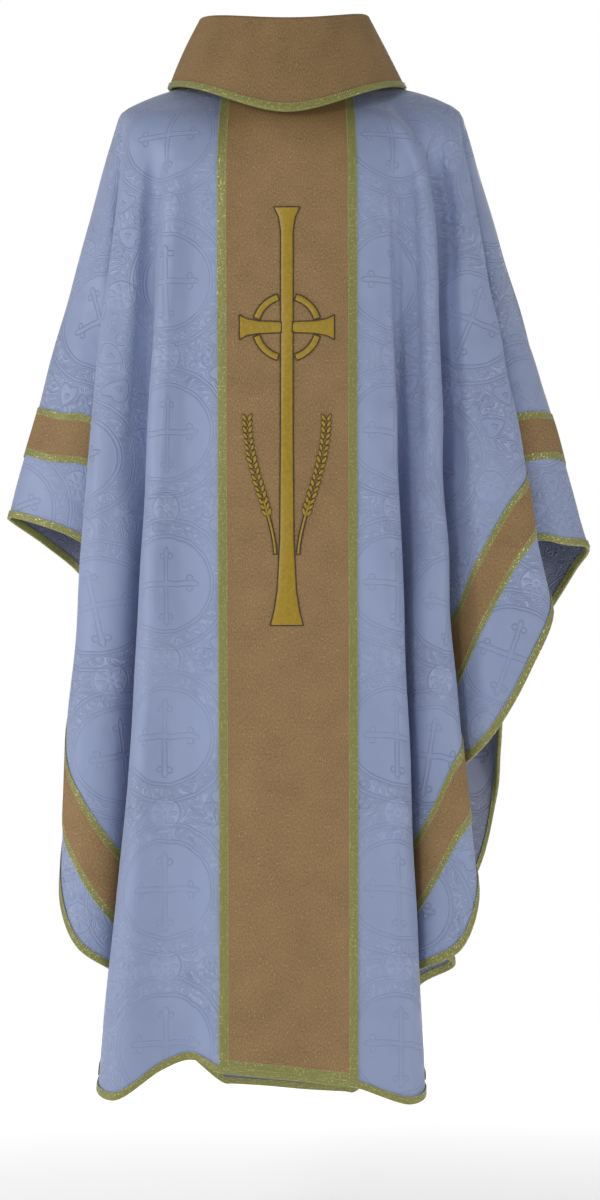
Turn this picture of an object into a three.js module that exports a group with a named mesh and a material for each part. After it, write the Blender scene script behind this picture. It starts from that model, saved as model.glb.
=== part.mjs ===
// A priest's chasuble, hanging as it does when it is worn with the arms a little out and forward.
//
// The cloak is a front and a back of damask, seamed along the shoulders and the tops of the arms and
// open from the wrists down. Both hang in folds that spread from the shoulders. A gold column runs
// down each face and a gold band runs parallel to each side, all edged with ribbon. A bias binding
// goes round the hem, and a roll collar stands at the neck.
//
// Millimetres, +Z up, and -Y is the back. Left and right are as seen from behind, so +X is right.
// The origin is the middle of the neck, at the height where the shoulders carry the weight.
import * as THREE from "three";
import { mergeVertices } from "three/addons/utils/BufferGeometryUtils.js";

// ---- Driving dimensions -----------------------------------------------------------------------

const CLOTH = 1.6; // wall of the damask
const RIBBON = 1.0; // wall of everything that is sewn onto the damask
const LIFT = 0.4; // clear gap under whatever lies on a panel
const FOLDED_LIFT = 0.7; // clear gap inside whatever is folded round an edge
const SEAM = 0.3; // clear gap between pieces that are sewn edge to edge

const NECK = { halfWidth: 88, sideZ: 12, columnShare: 0.9 }; // columnShare: of the width, at the column
const BACK = { y: -1, neckDepth: 76, neckZ: 0, yokeDepth: 118, yokeZ: -75 };
const FRONT = { y: 1, neckDepth: 80, neckZ: -22, yokeDepth: 114, yokeZ: -85 };
const LEFT = { x: -1, tip: 209 }; // tip: from the middle to the end of the shoulder
const RIGHT = { x: 1, tip: 216 };
const TIP_Z = -22; // height of the shoulders' ends
const YOKE_POWER = 0.8; // under 1, the yoke is boxier than an ellipse
const SHOULDER_ROUND = 42; // how far each side of the yoke a fold line bends over

const COLUMN = { halfWidth: 85, ribbon: 10.5 }; // the gold column and its edging
const BAND = { width: 62, ribbon: 8.5 }; // a side band, its two edgings included
const BINDING = 7; // height of the hem binding
const FOOT_RIBBON = 8; // height of the ribbon along a column's foot

// Rows of the cloak's grid: down the yoke, and from there to the band.
const ROWS = { yoke: 2, skirt: 7 };
const STEPS = 2; // grid columns from one fold line to the next

// Each row is one fold line, from the top of the arm towards the middle. yoke is its place on the
// shoulder yoke in degrees, 0 at the shoulder's end and 90 in the middle. side, out and z are its
// end at the hem: out is how far it stands off the garment's middle plane. bowSide and bowOut are
// how far it bends away from straight half way down. band is where the side band crosses it, as a
// share of the way from yoke to hem, and 0 is nowhere.
const FOLD_COLUMNS = ["yoke", "side", "out", "z", "bowSide", "bowOut", "band"];

const BACK_LEFT = [
  [5, 305, 25, -542, 0, 6, 0.79], // sleeve, falling off the arm
  [10, 259, 38, -568, 0, 6, 0.77],
  [14, 208, 30, -612, 0, 0, 0.77], // tucked in under the arm
  [18, 222, 52, -742, 0, 0, 0.79],
  [22, 268, 68, -900, 0, 0, 0.85],
  [26, 277, 90, -1000, 0, 4, 0.865], // side lobe
  [31, 256, 112, -1052, 0, 6, 0.87],
  [37, 219, 111, -1078, 0, 4, 0.9],
  [42, 176, 66, -1102, 0, -8, 0.925], // deep valley behind the main panel
  [45, 158, 78, -1128, 0, -8, 0.945],
  [48, 180, 102, -1168, -4, -4, 0.965],
  [52, 230, 140, -1222, -9, 6, 1.03], // main panel's edge
  [56, 206, 172, -1231, -6, 8, 0],
  [61, 150, 168, -1195, 0, 4, 0],
  [67, 114, 166, -1183, 0, 2, 0],
];
const BACK_RIGHT = [
  [4, 347, 22, -561, 0, 6, 0.75], // sleeve
  [8, 311, 36, -556, 0, 6, 0.765],
  [11, 268, 22, -574, 0, 0, 0.77], // tucked in under the arm
  [14, 268, 46, -600, 0, 0, 0.78],
  [17, 326, 74, -636, 0, 8, 0.79], // outer lobe
  [21, 295, 104, -719, 0, 10, 0.76],
  [25, 248, 110, -799, 0, 8, 0.77],
  [28.5, 211, 84, -838, 0, 0, 0.817],
  [31, 182, 58, -862, -4, -6, 0.83], // tucked in behind the inner lobe
  [33.5, 176, 82, -905, -6, -4, 0.845],
  [37, 231, 118, -972, -14, 6, 0.867], // inner lobe
  [42, 212, 134, -1052, -6, 8, 0.81],
  [48, 164, 126, -1078, 0, 2, 0.884],
  [52, 122, 66, -1100, 0, -8, 0.92], // deep valley behind the main panel
  [55.5, 102, 78, -1130, 0, -8, 0.94],
  [59, 120, 108, -1176, 0, -4, 0.965],
  [63, 167, 150, -1226, 0, 4, 1.03], // main panel's edge
  [66.5, 148, 180, -1235, 0, 4, 0],
];
const FRONT_LEFT = [
  [6, 306, 40, -560, 0, 6, 0.79], // sleeve
  [12, 263, 62, -597, 0, 6, 0.77],
  [17, 224, 38, -655, 0, -4, 0.77], // tucked in under the arm
  [21, 214, 60, -715, 0, -4, 0.785],
  [26, 249, 74, -808, 0, 4, 0.8], // side lobe
  [31, 262, 102, -900, 0, 6, 0.83],
  [35, 247, 118, -985, 0, 8, 0.85],
  [39, 216, 100, -1040, 0, 2, 0.88],
  [43, 180, 62, -1060, 0, -8, 0.91], // deep valley behind the main panel
  [47, 162, 76, -1084, 0, -8, 0.935],
  [51, 184, 102, -1122, 0, -4, 0.96],
  [56, 218, 132, -1164, 0, 4, 1.03], // main panel's edge
  [64, 150, 158, -1200, 0, 6, 0],
];
const FRONT_RIGHT = [
  [6, 363, 44, -593, 0, 6, 0.76],
  [12, 335, 62, -640, 0, 6, 0.77],
  [18, 280, 46, -716, 0, -4, 0.78],
  [25, 270, 84, -815, 0, 4, 0.8], // side lobe
  [32, 266, 112, -885, 0, 8, 0.83],
  [38, 238, 100, -985, 0, 2, 0.87],
  [43, 192, 62, -1020, 0, -8, 0.9], // deep valley behind the main panel
  [47, 172, 76, -1050, 0, -8, 0.93],
  [51, 190, 102, -1080, 0, -4, 0.96],
  [56, 214, 130, -1100, 0, 4, 1.03], // main panel's edge
  [61, 168, 156, -1130, 0, 6, 0],
  [67, 122, 150, -1212, 0, 0, 0],
];
// The ends at the hem of the column's edge, its inner edge and the middle of each face.
const COLUMN_LINES = {
  back: { leftX: -80, rightX: 86, out: 182, z: -1206, leftZ: -1196, rightZ: -1214 },
  front: { leftX: -82, rightX: 86, out: 170, z: -1262, leftZ: -1244, rightZ: -1256 },
};

// ---- The cloak's grid ---------------------------------------------------------------------------

const lerp = (a, b, t) => a + (b - a) * t;
const radians = (degrees) => (degrees * Math.PI) / 180;
const middle = (a, b) => a.clone().add(b).multiplyScalar(0.5);

/** A point of the yoke ring, which lies over the shoulders, the chest and the shoulder blades. */
function yokePoint(face, side, angle) {
  const along = Math.cos(radians(angle)) ** YOKE_POWER;
  const across = Math.sin(radians(angle)) ** YOKE_POWER;
  const z = lerp(TIP_Z, face.yokeZ, across ** 2);
  return new THREE.Vector3(side.x * side.tip * along, face.y * face.yokeDepth * across, z);
}

/** The point of the neckline that a fold line starts from, given its place on the yoke. */
function neckPoint(face, side, angle) {
  const turn = radians(angle);
  const edgeTurn = Math.acos((COLUMN.halfWidth / side.tip) ** (1 / YOKE_POWER));
  const overColumn = (Math.cos(turn) ** YOKE_POWER * side.tip) / COLUMN.halfWidth;
  const beside = Math.cos((Math.acos(NECK.columnShare) * turn) / edgeTurn);
  const wide = turn < edgeTurn ? beside : NECK.columnShare * overColumn;
  const deep = Math.sqrt(Math.max(0, 1 - wide * wide));
  const z = lerp(NECK.sideZ, face.neckZ, deep);
  return new THREE.Vector3(side.x * NECK.halfWidth * wide, face.y * face.neckDepth * deep, z);
}

/** One fold line: from the neckline over the yoke, then down to the hem. */
class FoldLine {
  constructor(face, side, yoke, hem, bow, band) {
    this.face = face;
    this.yoke = yokePoint(face, side, yoke);
    this.neck = neckPoint(face, side, yoke);
    this.hem = hem;
    this.bow = bow;
    this.band = band;
    this.yokeLength = this.neck.distanceTo(this.yoke);
    this.length = this.yoke.distanceTo(hem);
  }

  static fromRow(face, side, row) {
    const f = Object.fromEntries(FOLD_COLUMNS.map((column, i) => [column, row[i]]));
    const hem = new THREE.Vector3(side.x * f.side, face.y * f.out, f.z);
    const bow = new THREE.Vector3(side.x * f.bowSide, face.y * f.bowOut, 0);
    return new FoldLine(face, side, f.yoke, hem, bow, f.band);
  }

  /** The point at a distance from the yoke, negative towards the neck. */
  at(distance) {
    const round = Math.min(SHOULDER_ROUND, this.yokeLength * 0.8);
    if (distance <= -round) {
      return this.yoke.clone().lerp(this.neck, -distance / this.yokeLength);
    }
    if (distance < round) {
      const t = (distance + round) / (2 * round);
      const before = this.yoke.clone().lerp(this.neck, round / this.yokeLength);
      const after = this.below(round);
      return before.lerp(this.yoke, t).lerp(this.yoke.clone().lerp(after, t), t);
    }
    return this.below(distance);
  }

  below(distance) {
    const share = distance / this.length;
    const point = this.yoke.clone().lerp(this.hem, share);
    return point.addScaledVector(this.bow, 4 * share * (1 - share));
  }

  /** How far up this line the hem binding reaches: further where the hem runs steeply. */
  bindingHeight(before, after) {
    const down = this.hem.clone().sub(this.yoke).normalize();
    const square = [before, after].map((next) => {
      const run = next.hem.clone().sub(this.hem).normalize();
      return run.cross(down).length();
    });
    return BINDING / Math.max((square[0] + square[1]) / 2, 0.35);
  }

  /** Distances from the yoke of the band's four lines, each clear of those under it. */
  bandLines(crest, bindingTop) {
    const half = BAND.width / 2;
    const offsets = [-half, BAND.ribbon - half, half - BAND.ribbon, half];
    const slant = (this.band * this.length) / (crest.band * crest.length);
    return offsets.map((offset, i) => {
      const rowsUnder = offsets.length - i;
      if (!this.band) return bindingTop - FOOT_RIBBON - rowsUnder * 12;
      return Math.min(this.band * this.length + offset * slant, bindingTop - 4 - rowsUnder * 3);
    });
  }

  /** Distances from the yoke of every grid row. */
  rows(crest, bindingTop) {
    const marks = this.bandLines(crest, bindingTop);
    const lastMark = marks[marks.length - 1];
    const foot = this.band ? lerp(lastMark, bindingTop, 0.5) : bindingTop - FOOT_RIBBON;
    const out = [];
    for (let i = 0; i < ROWS.yoke; i++) out.push(lerp(-this.yokeLength, 0, i / ROWS.yoke));
    for (let i = 0; i < ROWS.skirt; i++) out.push(lerp(0, marks[0], i / ROWS.skirt));
    out.push(...marks, foot, bindingTop, this.length);
    return out;
  }
}

/** The end of each arm's top line, at the wrist. */
function crestLine(side) {
  const end = { x: side.x * (side === LEFT ? 350 : 379), y: 10, z: side === LEFT ? -527 : -566 };
  const hem = new THREE.Vector3(end.x, end.y, end.z);
  const band = side === LEFT ? 0.79 : 0.752;
  return new FoldLine(FRONT, side, 0, hem, new THREE.Vector3(0, 6, 0), band);
}

/** The fold lines at the middle of a face: the column's edges, its ribbon's inner edges, the middle. */
function columnLines(face, at) {
  const inner = COLUMN.halfWidth - COLUMN.ribbon;
  const right = [0, inner / 2, inner, COLUMN.halfWidth];
  const left = right.slice(1).reverse().map((x) => -x);
  return [...left, ...right].map((x) => {
    const side = x < 0 ? LEFT : RIGHT;
    const along = Math.abs(x) / side.tip;
    const yoke = (Math.acos(along ** (1 / YOKE_POWER)) * 180) / Math.PI;
    const share = (x + COLUMN.halfWidth) / (2 * COLUMN.halfWidth);
    const tilt = lerp(at.leftZ, at.rightZ, share) - lerp(at.leftZ, at.rightZ, 0.5);
    const hemX = lerp(at.leftX, at.rightX, share);
    const hem = new THREE.Vector3(hemX, face.y * at.out, at.z + tilt);
    return new FoldLine(face, side, yoke, hem, new THREE.Vector3(), 0);
  });
}

const crests = { left: crestLine(LEFT), right: crestLine(RIGHT) };
const backLeft = BACK_LEFT.map((row) => FoldLine.fromRow(BACK, LEFT, row));
const backRight = BACK_RIGHT.map((row) => FoldLine.fromRow(BACK, RIGHT, row)).reverse();
const frontRight = FRONT_RIGHT.map((row) => FoldLine.fromRow(FRONT, RIGHT, row));
const frontLeft = FRONT_LEFT.map((row) => FoldLine.fromRow(FRONT, LEFT, row)).reverse();
const backColumn = columnLines(BACK, COLUMN_LINES.back);
const frontColumn = columnLines(FRONT, COLUMN_LINES.front).reverse();

// Once round the body, from the top of the left arm across the back.
const foldLines = [
  crests.left,
  ...backLeft,
  ...backColumn,
  ...backRight,
  crests.right,
  ...frontRight,
  ...frontColumn,
  ...frontLeft,
];

/** A point on a smooth curve from b to c, given the points before and after. */
function smooth(a, b, c, d, t) {
  const knots = [0];
  for (const [p, q] of [[a, b], [b, c], [c, d]]) {
    knots.push(knots[knots.length - 1] + Math.max(1e-3, Math.sqrt(p.distanceTo(q))));
  }
  const [k0, k1, k2, k3] = knots;
  const k = lerp(k1, k2, t);
  const mix = (p, q, from, to) => p.clone().lerp(q, (k - from) / (to - from));
  const ab = mix(a, b, k0, k1);
  const bc = mix(b, c, k1, k2);
  const cd = mix(c, d, k2, k3);
  return mix(mix(ab, bc, k0, k2), mix(bc, cd, k1, k3), k1, k2);
}

/** The cloak as a closed ring of grid columns, each with its points from neck to hem. */
function makeGrid() {
  const count = foldLines.length;
  const lines = foldLines.map((line, i) => {
    const crest = line.yoke.x < 0 ? crests.left : crests.right;
    const before = foldLines[(i - 1 + count) % count];
    const bindingTop = line.length - line.bindingHeight(before, foldLines[(i + 1) % count]);
    return line.rows(crest, bindingTop).map((distance) => line.at(distance));
  });
  const at = (i) => lines[(i + count) % count];
  const points = [];
  const starts = [];
  lines.forEach((line, i) => {
    starts.push(points.length);
    const ribbonEdge = foldLines[i].band === 0 && foldLines[(i + 1) % count].band === 0;
    const narrow = line[line.length - 1].distanceTo(at(i + 1)[line.length - 1]) < 20;
    const steps = ribbonEdge && narrow ? 1 : STEPS;
    for (let s = 0; s < steps; s++) {
      const t = s / steps;
      points.push(line.map((_, j) => smooth(at(i - 1)[j], at(i)[j], at(i + 1)[j], at(i + 2)[j], t)));
    }
  });
  const total = points.length;
  const last = points[0].length - 1;
  return { points, normals: mitredNormals(points), starts, last, total };
}

/** Outward normals, each lengthened so that an offset wall keeps its thickness round a bend. */
function mitredNormals(points) {
  const total = points.length;
  const last = points[0].length - 1;
  const faceNormals = points.map((column, i) => {
    const next = points[(i + 1) % total];
    return column.slice(0, -1).map((p, j) => {
      const falling = next[j + 1].clone().sub(p);
      const rising = column[j + 1].clone().sub(next[j]);
      return rising.cross(falling).normalize();
    });
  });
  return points.map((column, i) =>
    column.map((_, j) => {
      const touching = [(i - 1 + total) % total, i].flatMap((f) =>
        faceNormals[f].slice(Math.max(j - 1, 0), Math.min(j + 1, last)),
      );
      const normal = touching.reduce((sum, n) => sum.add(n), new THREE.Vector3()).normalize();
      const facing = touching.reduce((sum, n) => sum + n.dot(normal), 0) / touching.length;
      return normal.divideScalar(Math.max(facing, 0.65));
    }),
  );
}

const grid = makeGrid();

/** The grid column where a fold line lies. */
const columnOf = (line) => grid.starts[foldLines.indexOf(line)];

// ---- Solids -------------------------------------------------------------------------------------

/** Collects faces as loops of points and closes them into a mesh. */
class Shell {
  constructor() {
    this.corners = [];
  }

  triangle(a, b, c) {
    this.corners.push(...a.toArray(), ...b.toArray(), ...c.toArray());
  }

  quad(a, b, c, d) {
    this.triangle(a, b, c);
    this.triangle(a, c, d);
  }

  geometry() {
    const loose = new THREE.BufferGeometry();
    loose.setAttribute("position", new THREE.Float32BufferAttribute(this.corners, 3));
    return mergeVertices(loose, 1e-4);
  }
}

/** One grid point of a patch, with its edges drawn in by half a seam and raised off the cloth. */
function patchPoint(patch, i, j, height) {
  const { points, normals, total } = grid;
  const point = points[(i + total) % total][j].clone();
  const inwards = (ii, jj) => points[(ii + total) % total][jj].clone().sub(point).normalize();
  const shift = new THREE.Vector3();
  if (i === patch.from) shift.addScaledVector(inwards(i + 1, j), patch.inset);
  if (i === patch.to) shift.addScaledVector(inwards(i - 1, j), patch.inset);
  if (j === patch.top && j > 0) shift.addScaledVector(inwards(i, j + 1), patch.inset);
  if (j === patch.bottom && j < grid.last) shift.addScaledVector(inwards(i, j - 1), patch.inset);
  return point.add(shift).addScaledVector(normals[(i + total) % total][j], height);
}

/** A wall that follows a patch of the grid, from one height off it to another. */
function slab(from, to, top, bottom, low, high, inset = SEAM / 2) {
  const patch = { from, to, top, bottom, inset };
  const shell = new Shell();
  const outer = (i, j) => patchPoint(patch, i, j, high);
  const inner = (i, j) => patchPoint(patch, i, j, low);
  for (let i = from; i < to; i++) {
    for (let j = top; j < bottom; j++) {
      shell.quad(outer(i, j), outer(i, j + 1), outer(i + 1, j + 1), outer(i + 1, j));
      shell.quad(inner(i, j), inner(i + 1, j), inner(i + 1, j + 1), inner(i, j + 1));
    }
    shell.quad(outer(i, top), outer(i + 1, top), inner(i + 1, top), inner(i, top));
    shell.quad(inner(i + 1, bottom), outer(i + 1, bottom), outer(i, bottom), inner(i, bottom));
  }
  for (let j = top; j < bottom; j++) {
    shell.quad(outer(from, j), inner(from, j), inner(from, j + 1), outer(from, j + 1));
    shell.quad(outer(to, j), outer(to, j + 1), inner(to, j + 1), inner(to, j));
  }
  return shell.geometry();
}

/** A strip folded round an edge. Each rail is {above, edge, aboveNormal, edgeNormal}. */
function foldedStrip(rails, halfWall, closed) {
  const gap = halfWall + FOLDED_LIFT;
  const full = gap + RIBBON;
  const end = FOLDED_LIFT + RIBBON;
  const section = (rail, i) => {
    const before = rails[closed ? (i - 1 + rails.length) % rails.length : Math.max(i - 1, 0)];
    const after = rails[closed ? (i + 1) % rails.length : Math.min(i + 1, rails.length - 1)];
    const along = rail.edge.clone().sub(rail.above).normalize();
    const square = [before, after].map((next) => {
      const run = next.edge.clone().sub(rail.edge).normalize();
      return next === rail ? 1 : run.cross(along).length();
    });
    const outwards = along.clone().divideScalar(Math.max((square[0] + square[1]) / 2, 0.2));
    const near = (height) =>
      rail.above.clone().addScaledVector(along, SEAM / 2).addScaledVector(rail.aboveNormal, height);
    const far = (beyond, height) =>
      rail.edge.clone().addScaledVector(outwards, beyond).addScaledVector(rail.edgeNormal, height);
    return [
      near(full), far(end, full), far(end, -full), near(-full),
      near(-gap), far(FOLDED_LIFT, -gap), far(FOLDED_LIFT, gap), near(gap),
    ];
  };
  const sections = rails.map(section);
  const shell = new Shell();
  const turns = closed ? sections.length : sections.length - 1;
  for (let i = 0; i < turns; i++) {
    const a = sections[i];
    const b = sections[(i + 1) % sections.length];
    a.forEach((_, k) => {
      const n = (k + 1) % a.length;
      // Every face is split along the same diagonal as the face of the panel beside it.
      if (k === 2 || k > 4) shell.quad(a[n], b[n], b[k], a[k]);
      else shell.quad(a[k], a[n], b[n], b[k]);
    });
  }
  if (!closed) {
    for (const [s, turned] of [[sections[0], false], [sections[turns], true]]) {
      for (const [a, b, c, d] of [[0, 7, 6, 1], [1, 6, 5, 2], [2, 5, 4, 3]]) {
        if (turned) shell.quad(s[d], s[c], s[b], s[a]);
        else shell.quad(s[a], s[b], s[c], s[d]);
      }
    }
  }
  return shell.geometry();
}

// ---- Materials ----------------------------------------------------------------------------------

const finish = (color, roughness, metalness = 0) =>
  new THREE.MeshStandardMaterial({ color, roughness, metalness });
const damask = finish("#a9b6da", 0.45);
const goldCloth = finish("#a5855a", 0.5, 0.2);
const ribbonCloth = finish("#a3a05a", 0.4, 0.3);
const satin = finish("#c2a02c", 0.35);

const chasuble = new THREE.Group();
function add(name, geometry, material) {
  const mesh = new THREE.Mesh(geometry, material);
  mesh.name = name;
  chasuble.add(mesh);
}

// ---- Damask panels and hem bindings ---------------------------------------------------------------

const HALF = CLOTH / 2;
const ON_CLOTH = HALF + LIFT; // underside of what lies on the damask
const faces = {
  back: {
    from: columnOf(crests.left),
    to: columnOf(crests.right),
    column: backColumn.map(columnOf),
    left: { crest: columnOf(crests.left), step: 1, lines: backLeft },
    right: { crest: columnOf(crests.right), step: -1, lines: [...backRight].reverse() },
  },
  front: {
    from: columnOf(crests.right),
    to: grid.total,
    column: frontColumn.map(columnOf),
    left: { crest: grid.total, step: -1, lines: [...frontLeft].reverse() },
    right: { crest: columnOf(crests.right), step: 1, lines: frontRight },
  },
};

/** The binding that is folded round the hem of one face. */
function hemBinding(face) {
  const rails = [];
  const patch = { from: face.from, to: face.to, top: 0, bottom: grid.last, inset: SEAM / 2 };
  for (let i = face.from; i <= face.to; i++) {
    rails.push({
      above: patchPoint(patch, i, grid.last - 1, 0),
      edge: patchPoint(patch, i, grid.last, 0),
      aboveNormal: grid.normals[i % grid.total][grid.last - 1],
      edgeNormal: grid.normals[i % grid.total][grid.last],
    });
  }
  return foldedStrip(rails, HALF, false);
}

// ---- Gold columns, side bands and their ribbons ---------------------------------------------------

const FIRST_MARK = ROWS.yoke + ROWS.skirt; // the row of the band's upper edge
const BINDING_ROW = grid.last - 1;

/** The gold column of one face, with a ribbon down each edge and one along its foot. */
function addColumn(name, face) {
  const [outerA, innerA] = face.column;
  const [innerB, outerB] = face.column.slice(-2);
  const foot = BINDING_ROW - 1;
  const high = ON_CLOTH + RIBBON;
  add(`${name}_column`, slab(innerA, innerB, 0, foot, ON_CLOTH, high), goldCloth);
  add(`${name}_column_ribbon_a`, slab(outerA, innerA, 0, BINDING_ROW, ON_CLOTH, high), ribbonCloth);
  add(`${name}_column_ribbon_b`, slab(innerB, outerB, 0, BINDING_ROW, ON_CLOTH, high), ribbonCloth);
  const footRibbon = slab(innerA, innerB, foot, BINDING_ROW, ON_CLOTH, high);
  add(`${name}_column_foot`, footRibbon, ribbonCloth);
}

/** A side band of one face and its two ribbons, from the top of the arm to the hem. */
function addBand(name, side) {
  const crossed = side.lines.filter((line) => line.band > 0);
  const end = columnOf(crossed[crossed.length - 1]);
  const from = side.step > 0 ? side.crest : end;
  const to = side.step > 0 ? end : side.crest;
  const pieces = [["ribbon_in", 0, ribbonCloth], ["gold", 1, goldCloth], ["ribbon_out", 2, ribbonCloth]];
  for (const [piece, row, material] of pieces) {
    const top = FIRST_MARK + row;
    add(`${name}_${piece}`, slab(from, to, top, top + 1, ON_CLOTH, ON_CLOTH + RIBBON), material);
  }
}

for (const [name, face] of Object.entries(faces)) {
  add(`${name}_panel`, slab(face.from, face.to, 0, grid.last, -HALF, HALF), damask);
  add(`${name}_hem_binding`, hemBinding(face), ribbonCloth);
  addColumn(name, face);
  addBand(`${name}_band_left`, face.left);
  addBand(`${name}_band_right`, face.right);
}

// ---- Embroidery on the back column ----------------------------------------------------------------

// Each motif is a strip between two rails of [x, z] points, worked on the back column.
const CROSS = { top: -154, crossing: -300, foot: -661, reach: 57, ring: 38, thread: 7 };

/** The point of the back column's face at x and z. */
function onBackColumn(x, z, height) {
  const [from] = faces.back.column.slice(1);
  const crossing = (i) => {
    const column = grid.points[i];
    const j = column.findIndex((p, row) => row < grid.last && column[row + 1].z <= z);
    const [a, b] = [column[j], column[j + 1]];
    return a.clone().lerp(b, (z - a.z) / (b.z - a.z));
  };
  let i = from;
  while (crossing(i + 1).x < x) i++;
  const [a, b] = [crossing(i), crossing(i + 1)];
  const point = a.lerp(b, (x - a.x) / (b.x - a.x));
  return new THREE.Vector3(x, point.y - ON_CLOTH - RIBBON - height, z);
}

/** A wall between two rails on the back column. Seen from behind, left runs on the rail's left. */
function motif(left, right) {
  const shell = new Shell();
  const at = (rail, i, height) => onBackColumn(rail[i][0], rail[i][1], height);
  const [low, high] = [LIFT, LIFT + RIBBON];
  for (let i = 0; i + 1 < left.length; i++) {
    for (const [a, b, ha, hb] of [
      [left, right, high, high], [right, left, low, low],
      [right, right, high, low], [left, left, low, high],
    ]) {
      shell.quad(at(a, i, ha), at(a, i + 1, ha), at(b, i + 1, hb), at(b, i, hb));
    }
  }
  for (const [i, [a, b]] of [[0, [right, left]], [left.length - 1, [left, right]]]) {
    shell.quad(at(a, i, high), at(a, i, low), at(b, i, low), at(b, i, high));
  }
  return shell.geometry();
}

/** Rails either side of a path. The path is [x, z, halfWidth] and runs downwards or to the right. */
function railsBeside(path) {
  const side = (turn) =>
    path.map(([x, z, half], i) => {
      const [x0, z0] = path[Math.max(i - 1, 0)];
      const [x1, z1] = path[Math.min(i + 1, path.length - 1)];
      const length = Math.hypot(x1 - x0, z1 - z0);
      return [x - (turn * half * (z1 - z0)) / length, z + (turn * half * (x1 - x0)) / length];
    });
  return [side(-1), side(1)];
}

function addMotifs() {
  const { top, crossing, foot, reach, ring, thread } = CROSS;
  const bend = grid.points[faces.back.column[3]][ROWS.yoke + 1].z; // the column's face bends here
  const ends = [[top, 15], [top - 28, 7], [bend, 7], [crossing, 7]];
  const stem = [...ends, [-430, 7], [-560, 8], [-620, 11], [foot, 19]];
  add("cross_stem", motif(...railsBeside(stem.map(([z, half]) => [0, z, half]))), satin);
  for (const [name, way] of [["left", -1], ["right", 1]]) {
    const arm = [[7 + SEAM, 6], [34, 7], [reach, 14]].map(([x, half]) => [way * x, crossing, half]);
    add(`cross_arm_${name}`, motif(...railsBeside(way < 0 ? arm.reverse() : arm)), satin);
    const ear = Array.from({ length: 9 }, (_, i) => {
      const t = i / 8;
      const x = 14 + 34 * Math.sin((t * Math.PI) / 2) ** 1.6;
      return [way * x, lerp(-575, -410, t), 2 + 5 * Math.sin(Math.PI * Math.min(1, 0.1 + t * 0.85))];
    });
    add(`wheat_${name}`, motif(...railsBeside(ear.reverse())), satin);
    for (const [part, up] of [["upper", 1], ["lower", -1]]) {
      const arc = Array.from({ length: 5 }, (_, i) => {
        const turn = lerp(radians(17), radians(73), i / 4);
        return [way * ring * Math.cos(turn), crossing + up * ring * Math.sin(turn), thread / 2];
      });
      add(`ring_${part}_${name}`, motif(...railsBeside(arc)), satin);
    }
  }
}
addMotifs();

// ---- Collar -------------------------------------------------------------------------------------

const COLLAR = {
  wall: 2.0,
  middle: 3, // the collar sits a little to the right
  fold: { halfWidth: 100, back: 82, front: 84, sideZ: 98, backZ: 84, frontZ: 78 },
  rim: { halfWidth: 146, back: 118, front: 116, sideZ: 8, backZ: -35, frontZ: -48 },
  foldRadius: 5,
  around: 34,
  edging: 8,
};

/** A point of one of the collar's rings, at an angle from the left arm round by the back. */
function ringPoint(ring, angle) {
  const deep = -Math.sin(angle);
  const [depth, z] = deep < 0 ? [ring.back, ring.backZ] : [ring.front, ring.frontZ];
  const height = lerp(ring.sideZ, z, deep * deep);
  const x = COLLAR.middle - ring.halfWidth * Math.cos(angle);
  return new THREE.Vector3(x, depth * deep, height);
}

/** The point of the cloak's neckline that lies at an angle, moved in towards the neck. */
function necklineAt(angle, inset) {
  const ray = new THREE.Vector3(-Math.cos(angle), -Math.sin(angle), 0);
  const side = (p) => ray.x * p.y - ray.y * p.x;
  for (let i = 0; i < grid.total; i++) {
    const a = grid.points[i][0];
    const b = grid.points[(i + 1) % grid.total][0];
    const facing = a.x * ray.x + a.y * ray.y > 0 && b.x * ray.x + b.y * ray.y > 0;
    if (facing && side(a) <= 0 !== side(b) <= 0) {
      return a.clone().lerp(b, side(a) / (side(a) - side(b))).addScaledVector(ray, -inset);
    }
  }
  throw new Error(`the neckline is open at ${angle}`);
}

/** The middle line of the collar's wall at one angle: up the stand, over the fold, down the fall. */
function collarProfile(angle) {
  const bottom = necklineAt(angle, HALF + 2 * SEAM + COLLAR.wall / 2);
  const fold = ringPoint(COLLAR.fold, angle);
  const rim = ringPoint(COLLAR.rim, angle);
  const outwards = new THREE.Vector3(-Math.cos(angle), -Math.sin(angle), 0);
  const crown = fold.clone().addScaledVector(outwards, -COLLAR.foldRadius);
  const arc = [-90, -45, 0, 45, 80].map((turn) =>
    crown
      .clone()
      .addScaledVector(outwards, COLLAR.foldRadius * Math.sin(radians(turn)))
      .add(new THREE.Vector3(0, 0, COLLAR.foldRadius * (Math.cos(radians(turn)) - 1))),
  );
  const belly = middle(arc[arc.length - 1], rim).addScaledVector(outwards, 2);
  const above = rim.clone().add(belly.clone().sub(rim).setLength(COLLAR.edging));
  return [bottom, ...arc, belly, above, rim];
}

/** Wall normals along a profile, pointing to the side that shows. */
function profileNormals(line, angle) {
  const tangent = new THREE.Vector3(Math.sin(angle), -Math.cos(angle), 0);
  return line.map((_, i) => {
    const a = line[Math.max(i - 1, 0)];
    const b = line[Math.min(i + 1, line.length - 1)];
    return b.clone().sub(a).cross(tangent).normalize();
  });
}

function collarRails() {
  return Array.from({ length: COLLAR.around }, (_, i) => {
    const angle = (2 * Math.PI * i) / COLLAR.around;
    const line = collarProfile(angle);
    return { line, normals: profileNormals(line, angle) };
  });
}

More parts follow.
